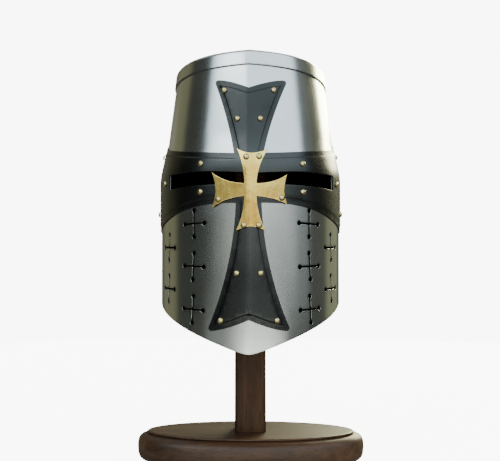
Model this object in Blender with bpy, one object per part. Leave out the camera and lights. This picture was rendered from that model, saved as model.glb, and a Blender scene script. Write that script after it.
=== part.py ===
"""Great helm with a riveted cross, resting on a plain wooden display stand.

Metres, +Z up, the face looks along -Y. The origin is under the helm's middle, on the floor.
Sheet pieces are flat patterns in (s, z): s is the arc from the ridge line round to the right,
z is the height. A pattern is meshed flat and then wrapped onto the helm's surface, where h is
the distance out from the outer face of the steel.
"""
import math

import bpy
from mathutils import Vector
from mathutils.geometry import delaunay_2d_cdt

# Clearance and sheet thicknesses
GAP = 0.0003
STEEL = 0.0015
BLACK_SHEET = 0.0010
PRESSED_STEP = 0.0005
BRASS_SHEET = 0.0010

# Helm body
HELM_LIFT = 0.147
HELM_HEIGHT = 0.337
HALF_WIDTH = 0.1106
FRONT_DEPTH = 0.1200
RIDGE_PROUD = 0.0065
RIDGE_WIDTH = 0.045
CROWN_DOME = 0.003
CROWN_CORNER = 0.0038
LAP_ANGLE = math.radians(110.0)
LAP_WIDTH = 0.013
LAP_RAMP = 0.007

# Sections of the body, as shares of HELM_HEIGHT, HALF_WIDTH, FRONT_DEPTH and RIDGE_PROUD
POINT, BROW, SHOULDER, SEAM, CROWN = range(5)
SECTIONS = (
    # height, side, front, ridge
    (0.000, 0.982, 0.983, 1.00),
    (0.608, 1.000, 1.000, 1.00),
    (0.709, 0.937, 0.958, 0.90),
    (0.947, 0.848, 0.904, 0.69),
    (1.000, 0.830, 0.884, 0.62),
)

# Lower edge: a blunt point in front that rises to the sides, and a round lobe at the back
EDGE_SLOPE = 0.345
EDGE_BLUNT = 0.0078
BACK_LOBE_POWER = 3.4
EDGE_SIDE_RISE = 0.052

# Sight slot, measured down from the brow fold
SLOT_HALF = 0.1178
SLOT_DROP = 0.0034
SLOT_HEIGHT = 0.0172
SLOT_TOP_DIP = 0.0073
SLOT_LOW_DIP = 0.0017
SLOT_DIP_POWER = 1.6

# The slot, the breaths and the band's rivets sit a little to the right of the ridge line
PUNCH_DRIFT = 0.0037

# Breaths: pierced crosses with round ends, in two staggered columns on each side
BREATH_PITCH = 0.1405 * HELM_HEIGHT
BREATH_INNER = 0.0719
BREATH_OUTER = 0.1182
BREATH_SPLAY = 0.0009
BREATH_REACH = 0.0146
BREATH_EYE = 0.0028
BREATH_SLIT = 0.0021
BREATH_TILT = math.radians(4.0)
BREATH_COLUMNS = (
    # arc, drift as a share of PUNCH_DRIFT, drop as a share of HELM_HEIGHT, rows
    (BREATH_INNER, 1.0, 0.1865, 3),
    (BREATH_OUTER, 0.3, 0.2590, 2),
)

# Black cross, measured from the cap seam, the brow fold and the helm's lowest point
BLACK_TOP_MARGIN = 0.0155
BLACK_TOP_SPAN = 0.0508
BLACK_TOP_LEAN = 0.003
BLACK_TOP_NECK = 0.0169
BLACK_FOOT_MARGIN = 0.0242
BLACK_FOOT_SPAN = 0.0493
BLACK_FOOT_NECK = 0.0142
BLACK_NOTCH = 0.0125
BAND_UP = 0.0122
BAND_DOWN = 0.0427
ARM_REACH = 0.184
ARM_TIP_UP = 0.046
ARM_TIP_DOWN = 0.0668
BLACK_CORNER = 0.0070
BORDER = 0.0065
# Controls of the black cross's curves, as shares of the box between the ends of each
BLACK_TOP_END = ((0.66, 1.02),)
BLACK_TOP_FLARE = ((0.68, 0.456),)
BLACK_ARM_UPPER = ((0.58, 0.231),)
BLACK_END_UPPER = ((0.0, 0.345),)
BLACK_END_LOWER = ((1.0, 0.655),)
BLACK_ARM_LOWER = ((0.377, 0.266), (0.583, 1.179))
BLACK_FOOT_FLARE = ((0.10, 0.5525),)
BLACK_FOOT_END = ((0.404, 0.0),)

# Brass cross, measured from its middle
BRASS_SHIFT = 0.002
BRASS_DROP = 0.029
BRASS_REACH = 0.0445
BRASS_SPAN = 0.0178
BRASS_NECK = 0.0061
BRASS_NOTCH = 0.0048
# Controls of an arm's curves, as shares of the box between the ends of each
BRASS_FLARE_OUT = ((0.10, 0.58),)
BRASS_END_IN = ((0.50, 0.85),)
BRASS_END_OUT = ((0.50, 0.15),)
BRASS_FLARE_IN = ((0.90, 0.42),)
# Arms as hand cut, anticlockwise from the top, in shares of the four sizes above
BRASS_ARMS = (
    # turn, reach, span_left, span_right, neck, notch
    (0, 1.03, 0.86, 1.16, 1.00, 1.30),
    (1, 0.99, 1.02, 1.18, 1.14, 0.95),
    (2, 0.99, 0.93, 0.87, 1.00, 0.90),
    (3, 0.935, 1.05, 0.80, 1.14, 0.75),
)

# Rivets
RIVET_RADIUS = 0.0035
RIVET_DOME = 0.0023
RIVET_SIDES = 10
# Share of a rivet's dome that stands out past the ridge, beside which the top pair sits
DOME_PAST_RIDGE = 0.4
# Rivets on the band: places as shares of ARM_REACH and of the arm tips' rise or drop
BAND_RIVETS = (
    # name, along, height
    ("band_upper", 0.333, 0.065),
    ("band_lower", 0.333, -0.427),
    ("end_middle", 0.7065, -0.173),
    ("end_upper", 0.865, 0.561),
    ("end_lower", 0.865, -0.667),
)
# Pairs on the arms' ends, which are placed from the ends and don't share the drift
END_PAIRS = ("end_upper", "end_lower")
# Rivets on the upright arms: shares of the arm's length from the band and of its tip span
TOP_RIVETS = (
    # name, along, across
    ("top_inner", 0.447, 0.276),
    ("top_outer", 0.845, 0.640),
)
FOOT_RIVETS = (
    ("foot_inner", 0.551, 0.267),
    ("foot_outer", 0.917, 0.648),
)
# Rivets on the brass cross: shares of BRASS_REACH, right and up from its middle
BRASS_RIVETS = (
    ("brass_top_left", -0.09, 0.79),
    ("brass_top_right", 0.20, 0.81),
    ("brass_foot_left", -0.15, -0.865),
    ("brass_foot_right", 0.195, -0.865),
    ("brass_arm_left", -0.81, -0.21),
    ("brass_arm_right", 0.79, -0.17),
)
LAP_RIVETS = 4
LAP_RIVET_MARGIN = 0.030

# Stand
BASE_HALF_X = 0.127
BASE_HALF_Y = 0.0565
BASE_HEIGHT = 0.0435
BASE_BULGE = 0.012
BASE_SIDES = 44
# Edge of the base, from the top down: shares of BASE_BULGE out and of BASE_HEIGHT up
BASE_EDGE = (
    # out, up
    (-0.06, 1.000),
    (0.00, 0.985),
    (0.00, 0.948),
    (-0.10, 0.932),
    (0.30, 0.920),
    (0.60, 0.895),
    (0.87, 0.815),
    (1.00, 0.680),
    (1.00, 0.550),
    (0.94, 0.390),
    (0.74, 0.280),
    (0.36, 0.212),
    (0.08, 0.190),
    (0.06, 0.000),
)
# The base and the post stand this far behind the helm's middle
STAND_BACK = 0.010
POST_WIDTH = 0.038
POST_CHAMFER = 0.003
HEAD_RADIUS = 0.058
HEAD_HEIGHT = 0.016
HEAD_EDGE = 0.003
HEAD_SIDES = 32

# Mesh spacing on the wrapped sheets
STEP_S = 0.011
STEP_Z = 0.028
SKIN_MARGIN = 0.004
NOTCH_STEPS = 3
CORNER_STEPS = 4
SHORT_STEPS = 6
CURVE_STEPS = 9
LONG_STEPS = 14
EDGE_STEPS = 12
SLOT_STEPS = 20
CAP_SIDES = 64
CAP_DOME_RINGS = (0.7, 0.35)
SLOPE_REACH = 0.0002
WELD = 1.0e-5

# Sizes worked out from the ones above
WRAP_RADIUS = (HALF_WIDTH + FRONT_DEPTH) / 2
ROUND = 2 * math.pi * WRAP_RADIUS
BLACK_IN = GAP
BLACK_RIM = GAP + BLACK_SHEET
BLACK_FIELD = BLACK_RIM + PRESSED_STEP
BRASS_IN = BLACK_FIELD + GAP
BRASS_OUT = BRASS_IN + BRASS_SHEET
CAP_OUT = GAP + STEEL
BACK_DEPTH = FRONT_DEPTH + RIDGE_PROUD + BRASS_OUT + DOME_PAST_RIDGE * RIVET_DOME
PLATE_TOP_CLEARANCE = CROWN_CORNER + 2 * STEEL + GAP

COLOURS = {
    # colour, roughness, metallic
    "steel": ((0.56, 0.58, 0.58), 0.28, 1.0),
    "black_steel": ((0.035, 0.038, 0.042), 0.38, 1.0),
    "brass": ((0.78, 0.60, 0.30), 0.30, 1.0),
    "rivet_brass": ((0.80, 0.74, 0.52), 0.28, 1.0),
    "stained_wood": ((0.060, 0.030, 0.018), 0.45, 0.0),
}


def section_height(index):
    """Height of a named section above the floor."""
    return HELM_LIFT + SECTIONS[index][0] * HELM_HEIGHT


def blend_sections(z, column):
    """Share in a column of SECTIONS at height z, in straight lines between the rows."""
    share = (z - HELM_LIFT) / HELM_HEIGHT
    last = len(SECTIONS) - 2
    for index in range(len(SECTIONS) - 1):
        low = SECTIONS[index]
        high = SECTIONS[index + 1]
        if share <= high[0] or index == last:
            t = (share - low[0]) / (high[0] - low[0])
            return low[column] + t * (high[column] - low[column])
    return SECTIONS[-1][column]


def on_steel(s, z):
    """Point on the outer face of the helm's body."""
    angle = s / WRAP_RADIUS
    side = HALF_WIDTH * blend_sections(z, 1)
    front_share = blend_sections(z, 2)
    depth = FRONT_DEPTH if math.cos(angle) > 0 else BACK_DEPTH
    arc = abs(math.remainder(s, ROUND))
    proud = RIDGE_PROUD * blend_sections(z, 3) * max(0.0, 1 - arc / RIDGE_WIDTH) ** 2
    x = side * math.sin(angle)
    y = -depth * front_share * math.cos(angle) - proud
    return Vector((x, y, z))


def outward(s, z):
    """Direction out of the body, the mean of both sides on a fold or on the ridge."""
    along = on_steel(s + SLOPE_REACH, z) - on_steel(s - SLOPE_REACH, z)
    up = on_steel(s, z + SLOPE_REACH) - on_steel(s, z - SLOPE_REACH)
    return along.cross(up).normalized()


def wrapped(s, z, h):
    """Point at height h over the outer face of the body."""
    return on_steel(s, z) + outward(s, z) * h


def bezier(points, steps):
    """Points along the curve that a short list of control points gives."""
    out = []
    for index in range(steps + 1):
        t = index / steps
        row = [Vector(p) for p in points]
        while len(row) > 1:
            row = [a.lerp(b, t) for a, b in zip(row, row[1:])]
        out.append(row[0])
    return out


def sweep(start, end, shares, steps):
    """Curve from start to end, its controls given as shares of the box between them."""
    controls = [start]
    for across, up in shares:
        x = start[0] + across * (end[0] - start[0])
        y = start[1] + up * (end[1] - start[1])
        controls.append((x, y))
    controls.append(end)
    return bezier(controls, steps)


def path_cut(path, length):
    """Split a path at a length from its end; gives the kept part and the cut point."""
    left = length
    index = len(path) - 1
    while index > 1 and (path[index] - path[index - 1]).length < left:
        left -= (path[index] - path[index - 1]).length
        index -= 1
    edge = path[index - 1] - path[index]
    point = path[index] + edge * min(0.95, left / edge.length)
    return path[:index] + [point]


def rounded_loop(runs, radii):
    """Join runs end to end; a radius above 0 rounds the corner after that run."""
    runs = [list(run) for run in runs]
    count = len(runs)
    corners = []
    for index in range(count):
        radius = radii[index]
        corner = runs[index][-1]
        if radius <= 0:
            corners.append([])
            continue
        after = (index + 1) % count
        runs[index] = path_cut(runs[index], radius)
        runs[after] = path_cut(runs[after][::-1], radius)[::-1]
        arc = bezier([runs[index][-1], corner, runs[after][0]], CORNER_STEPS)
        corners.append(arc[1:-1])
    loop = []
    for run, corner in zip(runs, corners):
        start = 1 if loop and (loop[-1] - run[0]).length < WELD else 0
        loop.extend(run[start:])
        loop.extend(corner)
    if (loop[0] - loop[-1]).length < WELD:
        loop.pop()
    return loop


def crossing(a, b, c, d):
    """Where lines ab and cd cross, as a point and its share along each, or None."""
    ab = b - a
    cd = d - c
    det = ab.x * cd.y - ab.y * cd.x
    if abs(det) < 1e-14:
        return None
    ac = c - a
    t = (ac.x * cd.y - ac.y * cd.x) / det
    u = (ac.x * ab.y - ac.y * ab.x) / det
    return a + ab * t, t, u


def inset_run(run, distance):
    """A run moved to its right by a distance."""
    out = []
    for index, point in enumerate(run):
        before = run[max(index - 1, 0)]
        after = run[min(index + 1, len(run) - 1)]
        way = (after - before).normalized()
        out.append(point + Vector((way.y, -way.x)) * distance)
    return out


def meet(first, second):
    """Trim or lengthen two runs so that the first ends where the second starts."""
    for i in range(len(first) - 1, 0, -1):
        for j in range(1, len(second)):
            hit = crossing(first[i - 1], first[i], second[j - 1], second[j])
            if hit and 0 <= hit[1] <= 1 and 0 <= hit[2] <= 1:
                return first[:i] + [hit[0]], [hit[0]] + second[j:]
    hit = crossing(first[-2], first[-1], second[0], second[1])
    return first[:-1] + [hit[0]], [hit[0]] + second[1:]


def inset_runs(runs, distance):
    """Runs of a clockwise loop, all moved in by a distance and joined again."""
    moved = [inset_run(run, distance) for run in runs]
    for index in range(len(moved)):
        after = (index + 1) % len(moved)
        moved[index], moved[after] = meet(moved[index], moved[after])
    return moved


def mirrored(runs):
    """Runs of the right half turned into the left half's, still clockwise."""
    return [[Vector((-p.x, p.y)) for p in reversed(run)] for run in reversed(runs)]


def black_cross_half(top_span):
    """Right half of the black cross's outline, clockwise from the notch of its top arm."""
    brow = section_height(BROW)
    top = section_height(SEAM) - BLACK_TOP_MARGIN
    foot = HELM_LIFT + BLACK_FOOT_MARGIN
    top_tip = (top_span, top)
    top_root = (BLACK_TOP_NECK, brow + BAND_UP)
    arm_top = (ARM_REACH, brow + ARM_TIP_UP)
    arm_notch = (ARM_REACH - BLACK_NOTCH, brow - (ARM_TIP_DOWN - ARM_TIP_UP) / 2)
    arm_low = (ARM_REACH, brow - ARM_TIP_DOWN)
    foot_root = (BLACK_FOOT_NECK, brow - BAND_DOWN)
    foot_tip = (BLACK_FOOT_SPAN, foot)
    return [
        sweep((0, top - BLACK_NOTCH), top_tip, BLACK_TOP_END, SHORT_STEPS),
        sweep(top_tip, top_root, BLACK_TOP_FLARE, CURVE_STEPS),
        sweep(top_root, arm_top, BLACK_ARM_UPPER, LONG_STEPS),
        sweep(arm_top, arm_notch, BLACK_END_UPPER, SHORT_STEPS),
        sweep(arm_notch, arm_low, BLACK_END_LOWER, SHORT_STEPS),
        sweep(arm_low, foot_root, BLACK_ARM_LOWER, LONG_STEPS),
        sweep(foot_root, foot_tip, BLACK_FOOT_FLARE, CURVE_STEPS),
        sweep(foot_tip, (0, foot + BLACK_NOTCH), BLACK_FOOT_END, SHORT_STEPS),
    ]


def black_cross_runs():
    """Outline of the black cross, whose top arm is cut wider on the right."""
    right = black_cross_half(BLACK_TOP_SPAN + BLACK_TOP_LEAN)
    left = black_cross_half(BLACK_TOP_SPAN - BLACK_TOP_LEAN)
    return right + mirrored(left)


def black_cross_loop(distance=0.0):
    """Closed outline of the black cross, moved in by a distance."""
    runs = black_cross_runs()
    corner = BLACK_CORNER
    if distance > 0:
        runs = inset_runs(runs, distance)
        corner = BLACK_CORNER / 2
    return rounded_loop(runs, (corner, 0) * (len(runs) // 2))


def brass_middle():
    """Middle of the brass cross in the flat pattern."""
    return Vector((BRASS_SHIFT, section_height(BROW) - BRASS_DROP))


def quarter_turned(point, turns):
    """A flat point turned anticlockwise by quarter turns."""
    x, y = point
    for _ in range(turns):
        x, y = -y, x
    return Vector((x, y))


def brass_cross_loop():
    """Outline of the brass cross, anticlockwise."""
    middle = brass_middle()
    loop = []
    for index, (turn, reach, left, right, neck, cut) in enumerate(BRASS_ARMS):
        before = BRASS_ARMS[index - 1][4]
        after = BRASS_ARMS[(index + 1) % 4][4]
        tip = reach * BRASS_REACH
        root_right = (neck * BRASS_NECK, before * BRASS_NECK)
        root_left = (-neck * BRASS_NECK, after * BRASS_NECK)
        tip_right = (right * BRASS_SPAN, tip)
        tip_left = (-left * BRASS_SPAN, tip)
        notch = (0, tip - cut * BRASS_NOTCH)
        run = sweep(root_right, tip_right, BRASS_FLARE_OUT, SHORT_STEPS)
        run += sweep(tip_right, notch, BRASS_END_IN, NOTCH_STEPS)[1:]
        run += sweep(notch, tip_left, BRASS_END_OUT, NOTCH_STEPS)[1:]
        run += sweep(tip_left, root_left, BRASS_FLARE_IN, SHORT_STEPS)[1:-1]
        loop.extend(middle + quarter_turned(p, turn) for p in run)
    return loop


def slot_loop():
    """Outline of the sight slot, which dips towards the ridge line."""
    top = section_height(BROW) - SLOT_DROP
    low = top - SLOT_HEIGHT
    upper = []
    lower = []
    for index in range(SLOT_STEPS + 1):
        share = 2 * index / SLOT_STEPS - 1
        dip = (1 - abs(share)) ** SLOT_DIP_POWER
        s = PUNCH_DRIFT + share * SLOT_HALF
        upper.append(Vector((s, top - SLOT_TOP_DIP * dip)))
        lower.append(Vector((s, low - SLOT_LOW_DIP * dip)))
    return lower + upper[::-1]


def breath_loop(s, z, tilt):
    """Outline of one breath: two crossed slits with a round eye at each end."""
    half = BREATH_SLIT / 2
    opening = math.asin(half / BREATH_EYE)
    loop = []
    for quarter in range(4):
        for index in range(5):
            turn = (math.pi - opening) * (index / 2 - 1)
            x = BREATH_REACH + BREATH_EYE * math.cos(turn)
            y = BREATH_EYE * math.sin(turn)
            loop.append(quarter_turned((x, y), quarter))
        loop.append(quarter_turned((half, half), quarter))
    cos = math.cos(tilt)
    sin = math.sin(tilt)
    return [Vector((s + p.x * cos - p.y * sin, z + p.x * sin + p.y * cos)) for p in loop]


def breath_loops():
    """The breaths on both sides: three in the inner column, two in the outer one."""
    loops = []
    for side in (-1, 1):
        for column, (arc, drift, drop, rows) in enumerate(BREATH_COLUMNS):
            for row in range(rows):
                s = drift * PUNCH_DRIFT + side * (arc + row * BREATH_SPLAY)
                z = section_height(BROW) - drop * HELM_HEIGHT - row * BREATH_PITCH
                loops.append(breath_loop(s, z, side * BREATH_TILT * min(row + column, 1)))
    return loops


def lower_edge(s):
    """Height of the front plate's lower edge."""
    rise = EDGE_SLOPE * (math.hypot(s, EDGE_BLUNT) - EDGE_BLUNT)
    return HELM_LIFT + min(rise, EDGE_SIDE_RISE)


def back_lower_edge(s):
    """Height of the back plate's lower edge: a round lobe, level from the laps on."""
    level = ROUND / 2 - LAP_ANGLE * WRAP_RADIUS - LAP_RAMP
    share = min(abs(s - ROUND / 2) / level, 1.0)
    return HELM_LIFT + EDGE_SIDE_RISE * share ** BACK_LOBE_POWER


def plate_top():
    """Height of the plates' upper edge, inside the cap's flange."""
    return section_height(CROWN) - PLATE_TOP_CLEARANCE


def front_plate_loop():
    """Outline of the front plate, anticlockwise."""
    edge = LAP_ANGLE * WRAP_RADIUS
    corner = math.sqrt((EDGE_SIDE_RISE / EDGE_SLOPE + EDGE_BLUNT) ** 2 - EDGE_BLUNT ** 2)
    lower = [-edge, -corner, corner, edge]
    for index in range(1, EDGE_STEPS):
        out = corner * (index / EDGE_STEPS) ** 1.5
        lower.extend((-out, out))
    lower.append(0.0)
    beyond = math.ceil((edge - corner) / STEP_S)
    for index in range(1, beyond):
        between = corner + (edge - corner) * index / beyond
        lower.extend((-between, between))
    loop = [Vector((s, lower_edge(s))) for s in sorted(lower)]
    count = round(2 * edge / STEP_S)
    top = plate_top()
    for index in range(count + 1):
        loop.append(Vector((edge - 2 * edge * index / count, top)))
    return loop


def back_plate_loop():
    """Outline of the back plate, anticlockwise, from under one lap round to the other."""
    start = LAP_ANGLE * WRAP_RADIUS - LAP_WIDTH
    end = ROUND - start
    count = round((end - start) / STEP_S)
    top = plate_top()
    across = [start + (end - start) * index / count for index in range(count + 1)]
    lower = [Vector((s, back_lower_edge(s))) for s in across]
    upper = [Vector((s, top)) for s in reversed(across)]
    return lower + upper


def inside(point, loop):
    """True where a flat point lies inside a loop."""
    odd = False
    before = loop[-1]
    for after in loop:
        if (before.y > point.y) != (after.y > point.y):
            share = (point.y - before.y) / (after.y - before.y)
            if point.x < before.x + share * (after.x - before.x):
                odd = not odd
        before = after
    return odd


def loop_distance(point, loop):
    """Distance from a flat point to a loop."""
    best = 1.0
    before = loop[-1]
    for after in loop:
        edge = after - before
        share = (point - before).dot(edge) / edge.length_squared
        share = min(1.0, max(0.0, share))
        best = min(best, (before + edge * share - point).length)
        before = after
    return best


def guide_lines(loop, heights, arcs):
    """Straight guide lines across a pattern, as lists of points, at heights and arcs."""
    left = min(p.x for p in loop)
    right = max(p.x for p in loop)
    low = min(p.y for p in loop)
    high = max(p.y for p in loop)
    lines = []
    for z in heights:
        count = max(1, round((right - left) / STEP_S))
        lines.append([Vector((left + (right - left) * i / count, z)) for i in range(count + 1)])
    for s in arcs:
        count = max(1, round((high - low) / STEP_Z))
        lines.append([Vector((s, low + (high - low) * i / count)) for i in range(count + 1)])
    return [line for line in lines if touches(line, left, right, low, high)]


def touches(line, left, right, low, high):
    """True where a guide line runs inside a pattern's box."""
    middle = line[len(line) // 2]
    return left < middle.x < right and low < middle.y < high


def grid_points(loop, holes, steps, lines):
    """Points spread over a pattern, clear of its outline, holes and guide lines."""
    left = min(p.x for p in loop)
    right = max(p.x for p in loop)
    low = min(p.y for p in loop)
    high = max(p.y for p in loop)
    columns = max(1, round((right - left) / steps[0]))
    rows = max(1, round((high - low) / steps[1]))
    out = []
    for i in range(1, columns):
        for j in range(1, rows):
            s = left + (right - left) * i / columns
            point = Vector((s, low + (high - low) * j / rows))
            if not inside(point, loop) or any(inside(point, hole) for hole in holes):
                continue
            if min(loop_distance(point, edge) for edge in [loop] + holes) < SKIN_MARGIN:
                continue
            if lines and min(line_distance(point, line) for line in lines) < SKIN_MARGIN:
                continue
            out.append(point)
    return out


def line_distance(point, line):
    """Distance from a flat point to a straight guide line."""
    start = line[0]
    way = (line[-1] - start).normalized()
    return abs((point - start).cross(way))


def flat_mesh(loop, holes, folds=(), arcs=(), inner=(), steps=(STEP_S, STEP_Z)):
    """Triangles of a flat pattern with its holes, guide lines and inner outlines."""
    lines = guide_lines(loop, folds, arcs)
    points = []
    edges = []
    for ring in [loop] + list(holes) + list(inner):
        first = len(points)
        points.extend(ring)
        count = len(ring)
        edges.extend((first + i, first + (i + 1) % count) for i in range(count))
    for line in lines:
        first = len(points)
        points.extend(line)
        edges.extend((first + i, first + i + 1) for i in range(len(line) - 1))
    avoid = list(holes) + list(inner)
    for point in grid_points(loop, list(holes), steps, lines):
        if not inner or min(loop_distance(point, ring) for ring in inner) > SKIN_MARGIN:
            points.append(point)
    result = delaunay_2d_cdt(points, edges, [], 0, WELD)
    verts = result[0]
    faces = []
    for face in result[2]:
        middle = sum((verts[i] for i in face), Vector((0, 0))) / len(face)
        if inside(middle, loop) and not any(inside(middle, hole) for hole in holes):
            faces.append(tuple(face))
    return verts, faces


def sheet_solid(verts, faces, inner_height, outer_height):
    """Wrapped solid over a flat mesh, between an inner and an outer height."""
    used = sorted({i for face in faces for i in face})
    number = {old: new for new, old in enumerate(used)}
    count = len(used)
    points = []
    for height in (outer_height, inner_height):
        for i in used:
            s, z = verts[i]
            points.append(wrapped(s, z, height(s, z)))
    solid = []
    sides = {}
    for face in faces:
        a, b, c = (number[i] for i in face)
        solid.append((a, b, c))
        solid.append((a + count, c + count, b + count))
        for edge in ((a, b), (b, c), (c, a)):
            sides[edge] = True
    for a, b in sides:
        if (b, a) not in sides:
            solid.append((b, a, a + count))
            solid.append((b, a + count, b + count))
    return points, solid


def material(name):
    """Principled material from the colour table, made once."""
    made = bpy.data.materials.get(name)
    if made:
        return made
    colour, roughness, metallic = COLOURS[name]
    made = bpy.data.materials.new(name)
    made.use_nodes = True
    shader = made.node_tree.nodes["Principled BSDF"]
    shader.inputs["Base Color"].default_value = (*colour, 1.0)
    shader.inputs["Roughness"].default_value = roughness
    shader.inputs["Metallic"].default_value = metallic
    made.diffuse_color = (*colour, 1.0)
    return made


def add_object(name, points, faces, finish, parent, smooth=math.radians(30)):
    """Named object from points and faces, smooth where its faces turn gently."""
    mesh = bpy.data.meshes.new(name)
    mesh.from_pydata([tuple(p) for p in points], [], faces)
    mesh.validate()
    mesh.shade_smooth()
    mesh.set_sharp_from_angle(angle=smooth)
    mesh.materials.append(material(finish))
    thing = bpy.data.objects.new(name, mesh)
    bpy.context.scene.collection.objects.link(thing)
    thing.parent = parent
    return thing


def add_sheet(name, flat, inner, outer, finish, parent):
    """Sheet piece of even heights inside and outside."""
    points, faces = sheet_solid(*flat, lambda s, z: inner, lambda s, z: outer)
    return add_object(name, points, faces, finish, parent)


def fold_heights():
    """Heights of the two folds round the body."""
    return section_height(BROW), section_height(SHOULDER)


def add_front_plate(parent):
    """Face and sides of the helm, pierced by the slot and the breaths."""
    holes = [slot_loop()] + breath_loops()
    flat = flat_mesh(front_plate_loop(), holes, folds=fold_heights(), arcs=(0.0,))
    return add_sheet("front_plate", flat, -STEEL, 0.0, "steel", parent)


def lap_drop(s):
    """How far the back plate is joggled in to pass under the front plate."""
    edge = LAP_ANGLE * WRAP_RADIUS + GAP
    past = min(s, ROUND - s) - edge
    share = min(1.0, max(0.0, 1 - past / LAP_RAMP))
    return (STEEL + GAP) * share * share * (3 - 2 * share)


def add_back_plate(parent):
    """Rear half of the helm."""
    edge = LAP_ANGLE * WRAP_RADIUS + GAP
    arcs = []
    for share in (0.0, 0.5, 1.0):
        arcs.append(edge + share * LAP_RAMP)
        arcs.append(ROUND - edge - share * LAP_RAMP)
    flat = flat_mesh(back_plate_loop(), [], folds=fold_heights(), arcs=arcs)
    points, faces = sheet_solid(*flat, lambda s, z: -STEEL - lap_drop(s), lambda s, z: -lap_drop(s))
    return add_object("back_plate", points, faces, "steel", parent)


def add_black_cross(parent):
    """Blackened cross with a pressed border line, whose side arms make the brow band."""
    loop = black_cross_loop()[::-1]
    border = black_cross_loop(BORDER)[::-1]
    field = black_cross_loop(BORDER + PRESSED_STEP)[::-1]
    flat = flat_mesh(loop, [slot_loop()], folds=fold_heights(), arcs=(0.0,), inner=(border, field))

    def outer(s, z):
        point = Vector((s, z))
        if not inside(point, border) or loop_distance(point, border) < PRESSED_STEP / 4:
            return BLACK_RIM
        return BLACK_FIELD

    points, faces = sheet_solid(*flat, lambda s, z: BLACK_IN, outer)
    return add_object("black_cross", points, faces, "black_steel", parent)


def add_brass_cross(parent):
    """Small brass cross over the middle of the black one."""
    flat = flat_mesh(brass_cross_loop(), [], folds=fold_heights(), arcs=(0.0,))
    return add_sheet("brass_cross", flat, BRASS_IN, BRASS_OUT, "brass", parent)


def cap_profile(inner):
    """Rows of the cap from its flange's edge to its top: inset, height and ring share."""
    seam = section_height(SEAM)
    crown = section_height(CROWN)
    thick = STEEL if inner else 0.0
    radius = CROWN_CORNER - thick
    rows = [(thick, seam), (thick, (seam + crown - CROWN_CORNER) / 2)]
    for index in range(4):
        turn = math.pi / 2 * index / 3
        inset = thick + radius * (1 - math.cos(turn))
        rows.append((inset, crown - CROWN_CORNER + radius * math.sin(turn)))
    return rows


def cap_ring(inset, z, sides):
    """Points round the cap at an inset from the flange's outer face."""
    ring = []
    level = min(z, section_height(CROWN))
    for index in range(sides):
        s = ROUND * index / sides
        out = outward(s, level)
        flat = Vector((out.x, out.y, 0.0)).normalized()
        point = on_steel(s, level) + flat * (CAP_OUT - inset)
        ring.append(Vector((point.x, point.y, z)))
    return ring


def dome_lift(share):
    """Rise of the cap's dome at a share of the way from its middle to its rim."""
    return CROWN_DOME * (1 - share * share)


def domed_ring(ring, share, middle):
    """A ring drawn in towards the cap's middle and raised along its gentle dome."""
    lift = dome_lift(share)
    out = []
    for point in ring:
        flat = middle.lerp(Vector((point.x, point.y)), share)
        out.append(Vector((flat.x, flat.y, point.z + lift)))
    return out


def skin(rings):
    """Quads between closed rings of equal size."""
    faces = []
    sides = len(rings[0])
    for row in range(len(rings) - 1):
        low = row * sides
        high = low + sides
        for i in range(sides):
            j = (i + 1) % sides
            faces.append((low + i, low + j, high + j, high + i))
    return faces


def capped_solid(rings, start_tip=None, end_tip=None):
    """Closed solid from rings, each end drawn to a tip or closed flat."""
    points = [p for ring in rings for p in ring]
    faces = skin(rings)
    sides = len(rings[0])
    last = len(points) - sides
    if start_tip is None:
        faces.append(tuple(reversed(range(sides))))
    else:
        points.append(start_tip)
        tip = len(points) - 1
        faces.extend(((i + 1) % sides, i, tip) for i in range(sides))
    if end_tip is None:
        faces.append(tuple(last + i for i in range(sides)))
    else:
        points.append(end_tip)
        tip = len(points) - 1
        faces.extend((last + i, last + (i + 1) % sides, tip) for i in range(sides))
    return points, faces


def add_crown_cap(parent):
    """Flat, slightly domed top with a rounded edge and a short flange."""
    sides = CAP_SIDES
    outer = [cap_ring(inset, z, sides) for inset, z in cap_profile(False)]
    inner = [cap_ring(inset, z, sides) for inset, z in cap_profile(True)]
    middle = Vector((0.0, sum(p.y for p in outer[-1]) / sides))
    for rings in (outer, inner):
        rim = rings[-1]
        for share in CAP_DOME_RINGS:
            rings.append(domed_ring(rim, share, middle))
    crown = section_height(CROWN)
    top = Vector((middle.x, middle.y, crown + CROWN_DOME))
    under = top - Vector((0.0, 0.0, STEEL))
    points, faces = capped_solid(inner[::-1] + outer, under, top)
    return add_object("crown_cap", points, faces, "steel", parent)


def add_rivet(name, s, z, seat, parent):
    """Domed rivet head standing on a seat height over the body."""
    axis = outward(s, z)
    foot = wrapped(s, z, seat + GAP)
    across = Vector((0.0, 0.0, 1.0)).cross(axis).normalized()
    up = axis.cross(across)
    rings = []
    for share in (1.0, 0.62):
        radius = RIVET_RADIUS * share
        lift = RIVET_DOME * math.sqrt(1 - share * share)
        ring = []
        for index in range(RIVET_SIDES):
            turn = 2 * math.pi * index / RIVET_SIDES
            way = across * math.cos(turn) + up * math.sin(turn)
            ring.append(foot + way * radius + axis * lift)
        rings.append(ring)
    points, faces = capped_solid(rings, None, foot + axis * RIVET_DOME)
    return add_object(name, points, faces, "rivet_brass", parent, math.radians(60))


def band_rivet_places():
    """Rivets on the side arms of the black cross, on both sides."""
    brow = section_height(BROW)
    for label, along, height in BAND_RIVETS:
        drift = 0.0 if label in END_PAIRS else PUNCH_DRIFT
        z = brow + height * (ARM_TIP_UP if height > 0 else ARM_TIP_DOWN)
        for word, side in (("left", -1), ("right", 1)):
            yield f"rivet_{label}_{word}", drift + side * along * ARM_REACH, z, BLACK_FIELD


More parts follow.
